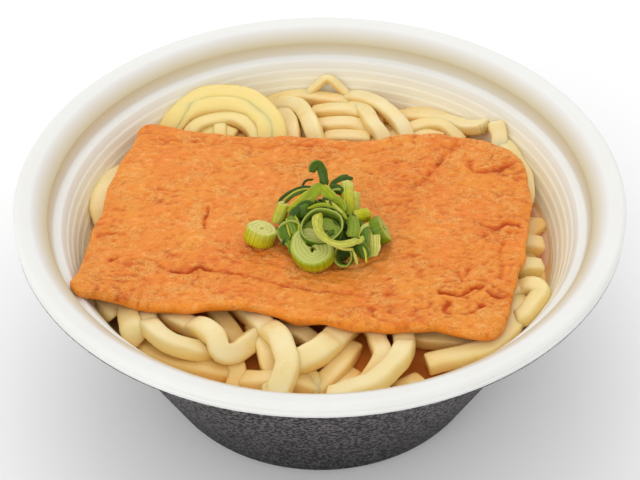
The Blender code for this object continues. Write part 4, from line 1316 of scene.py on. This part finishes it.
scallion_material, tree = new_material("scallion", 0.3)
tone = read_attribute(tree, "tone")
ramp = new_node(tree, "ValToRGB", {"Fac": tone})
ramp.color_ramp.elements[0].color = (*LEAF_DARK, 1.0)
ramp.color_ramp.elements[1].color = (*STEM_WHITE, 1.0)
for place, colour in TONES:
    ramp.color_ramp.elements.new(place).color = (*colour, 1.0)
vein = {"W": read_attribute(tree, "vein"), "Scale": 2.2, "Detail": 2.0}
streaks = new_node(tree, "TexNoise", vein, noise_dimensions="1D").outputs["Fac"]
blotches = place_mottle(tree, WHITE, BLOTCH_SHADE, 500.0, 0.16)
veined = mix_colours(tree, stretch_value(tree, streaks, 0.38, 0.60), VEIN_SHADE, blotches.outputs["Color"])
shade = {"Factor": 1.0, "A": ramp.outputs["Color"], "B": veined}
skin = new_node(tree, "Mix", shade, data_type="RGBA", blend_type="MULTIPLY").outputs["Result"]
cut = mix_colours(tree, tone, LEAF_CUT, STEM_CUT)
set_shader(
    tree, Base_Color=mix_colours(tree, read_attribute(tree, "skin"), cut, skin), Specular_IOR_Level=0.22,
    Subsurface_Weight=0.15, Subsurface_Radius=(0.6, 1.0, 0.2), Subsurface_Scale=1.0 * MM,
)
vary_roughness(tree, blotches.outputs["Mask"], 0.20, 0.38)
add_bump(tree, streaks, 0.35, 0.3 * MM)

heap = add_piece("scallion_slices", scallion_bin.to_mesh("scallion_slices"), scallion_material)
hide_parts("scallion_heap")
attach(heap, "root")

# ----------------------------------------
# The loose slices. One thick slice of pale stem has rolled to the heap's left, and one of dark
# leaf leans on its right side with its cut face outwards.
# ----------------------------------------
LOOSE = (      # piece, node, centre, axis, outer radius, wall, length, tone at both ends, slot
    ("scallion_stem_slice", "scallion_slice_left", (-17.5, -15.7, 64.0), (0.30, 0.24, 0.92), 4.7, 4.5, 4.6,
     0.58, 0.78, "scallion_pale"),
    ("scallion_leaf_slice", "scallion_slice_right", (17.6, -16.0, 65.3), (0.86, 0.10, 0.50), 4.1, 3.2, 3.2,
     0.26, 0.34, "scallion_green"),
)
for name, node, centre, axis, radius, wall, length, tone_low, tone_high, slot in LOOSE:
    slice_bin = MeshBin()
    ring_slice(slice_bin, centre, axis, radius, wall, length, tone_low, tone_high, len(name) * 1.3)
    piece = add_piece(name, slice_bin.to_mesh(name), scallion_material)
    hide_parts(node)
    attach(piece, "root")

# ----------------------------------------
# The standing curl. One strip of dark leaf stands out of the heap's back with its head bent
# over, because the leaf springs back into its tube once it is cut.
# ----------------------------------------
CURL_ROUTE = (
    (1.6, -2.4, 70.2), (1.4, -1.2, 71.8), (1.1, 0.0, 73.4), (0.6, 1.0, 74.9), (-0.3, 1.6, 75.9),
    (-1.3, 1.3, 76.1), (-2.0, 0.6, 75.4), (-2.3, 0.0, 74.5),
)
CURL_WIDTH = 2.9
CURL_THICKNESS = 1.3
CURL_TONE = 0.10

curl_bin = MeshBin()
leaf_strip(curl_bin, CURL_ROUTE, CURL_WIDTH, CURL_THICKNESS, CURL_TONE, 0.1)
curl = add_piece("scallion_leaf_curl", curl_bin.to_mesh("scallion_leaf_curl"), scallion_material)
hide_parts("scallion_curl")
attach(curl, "root")
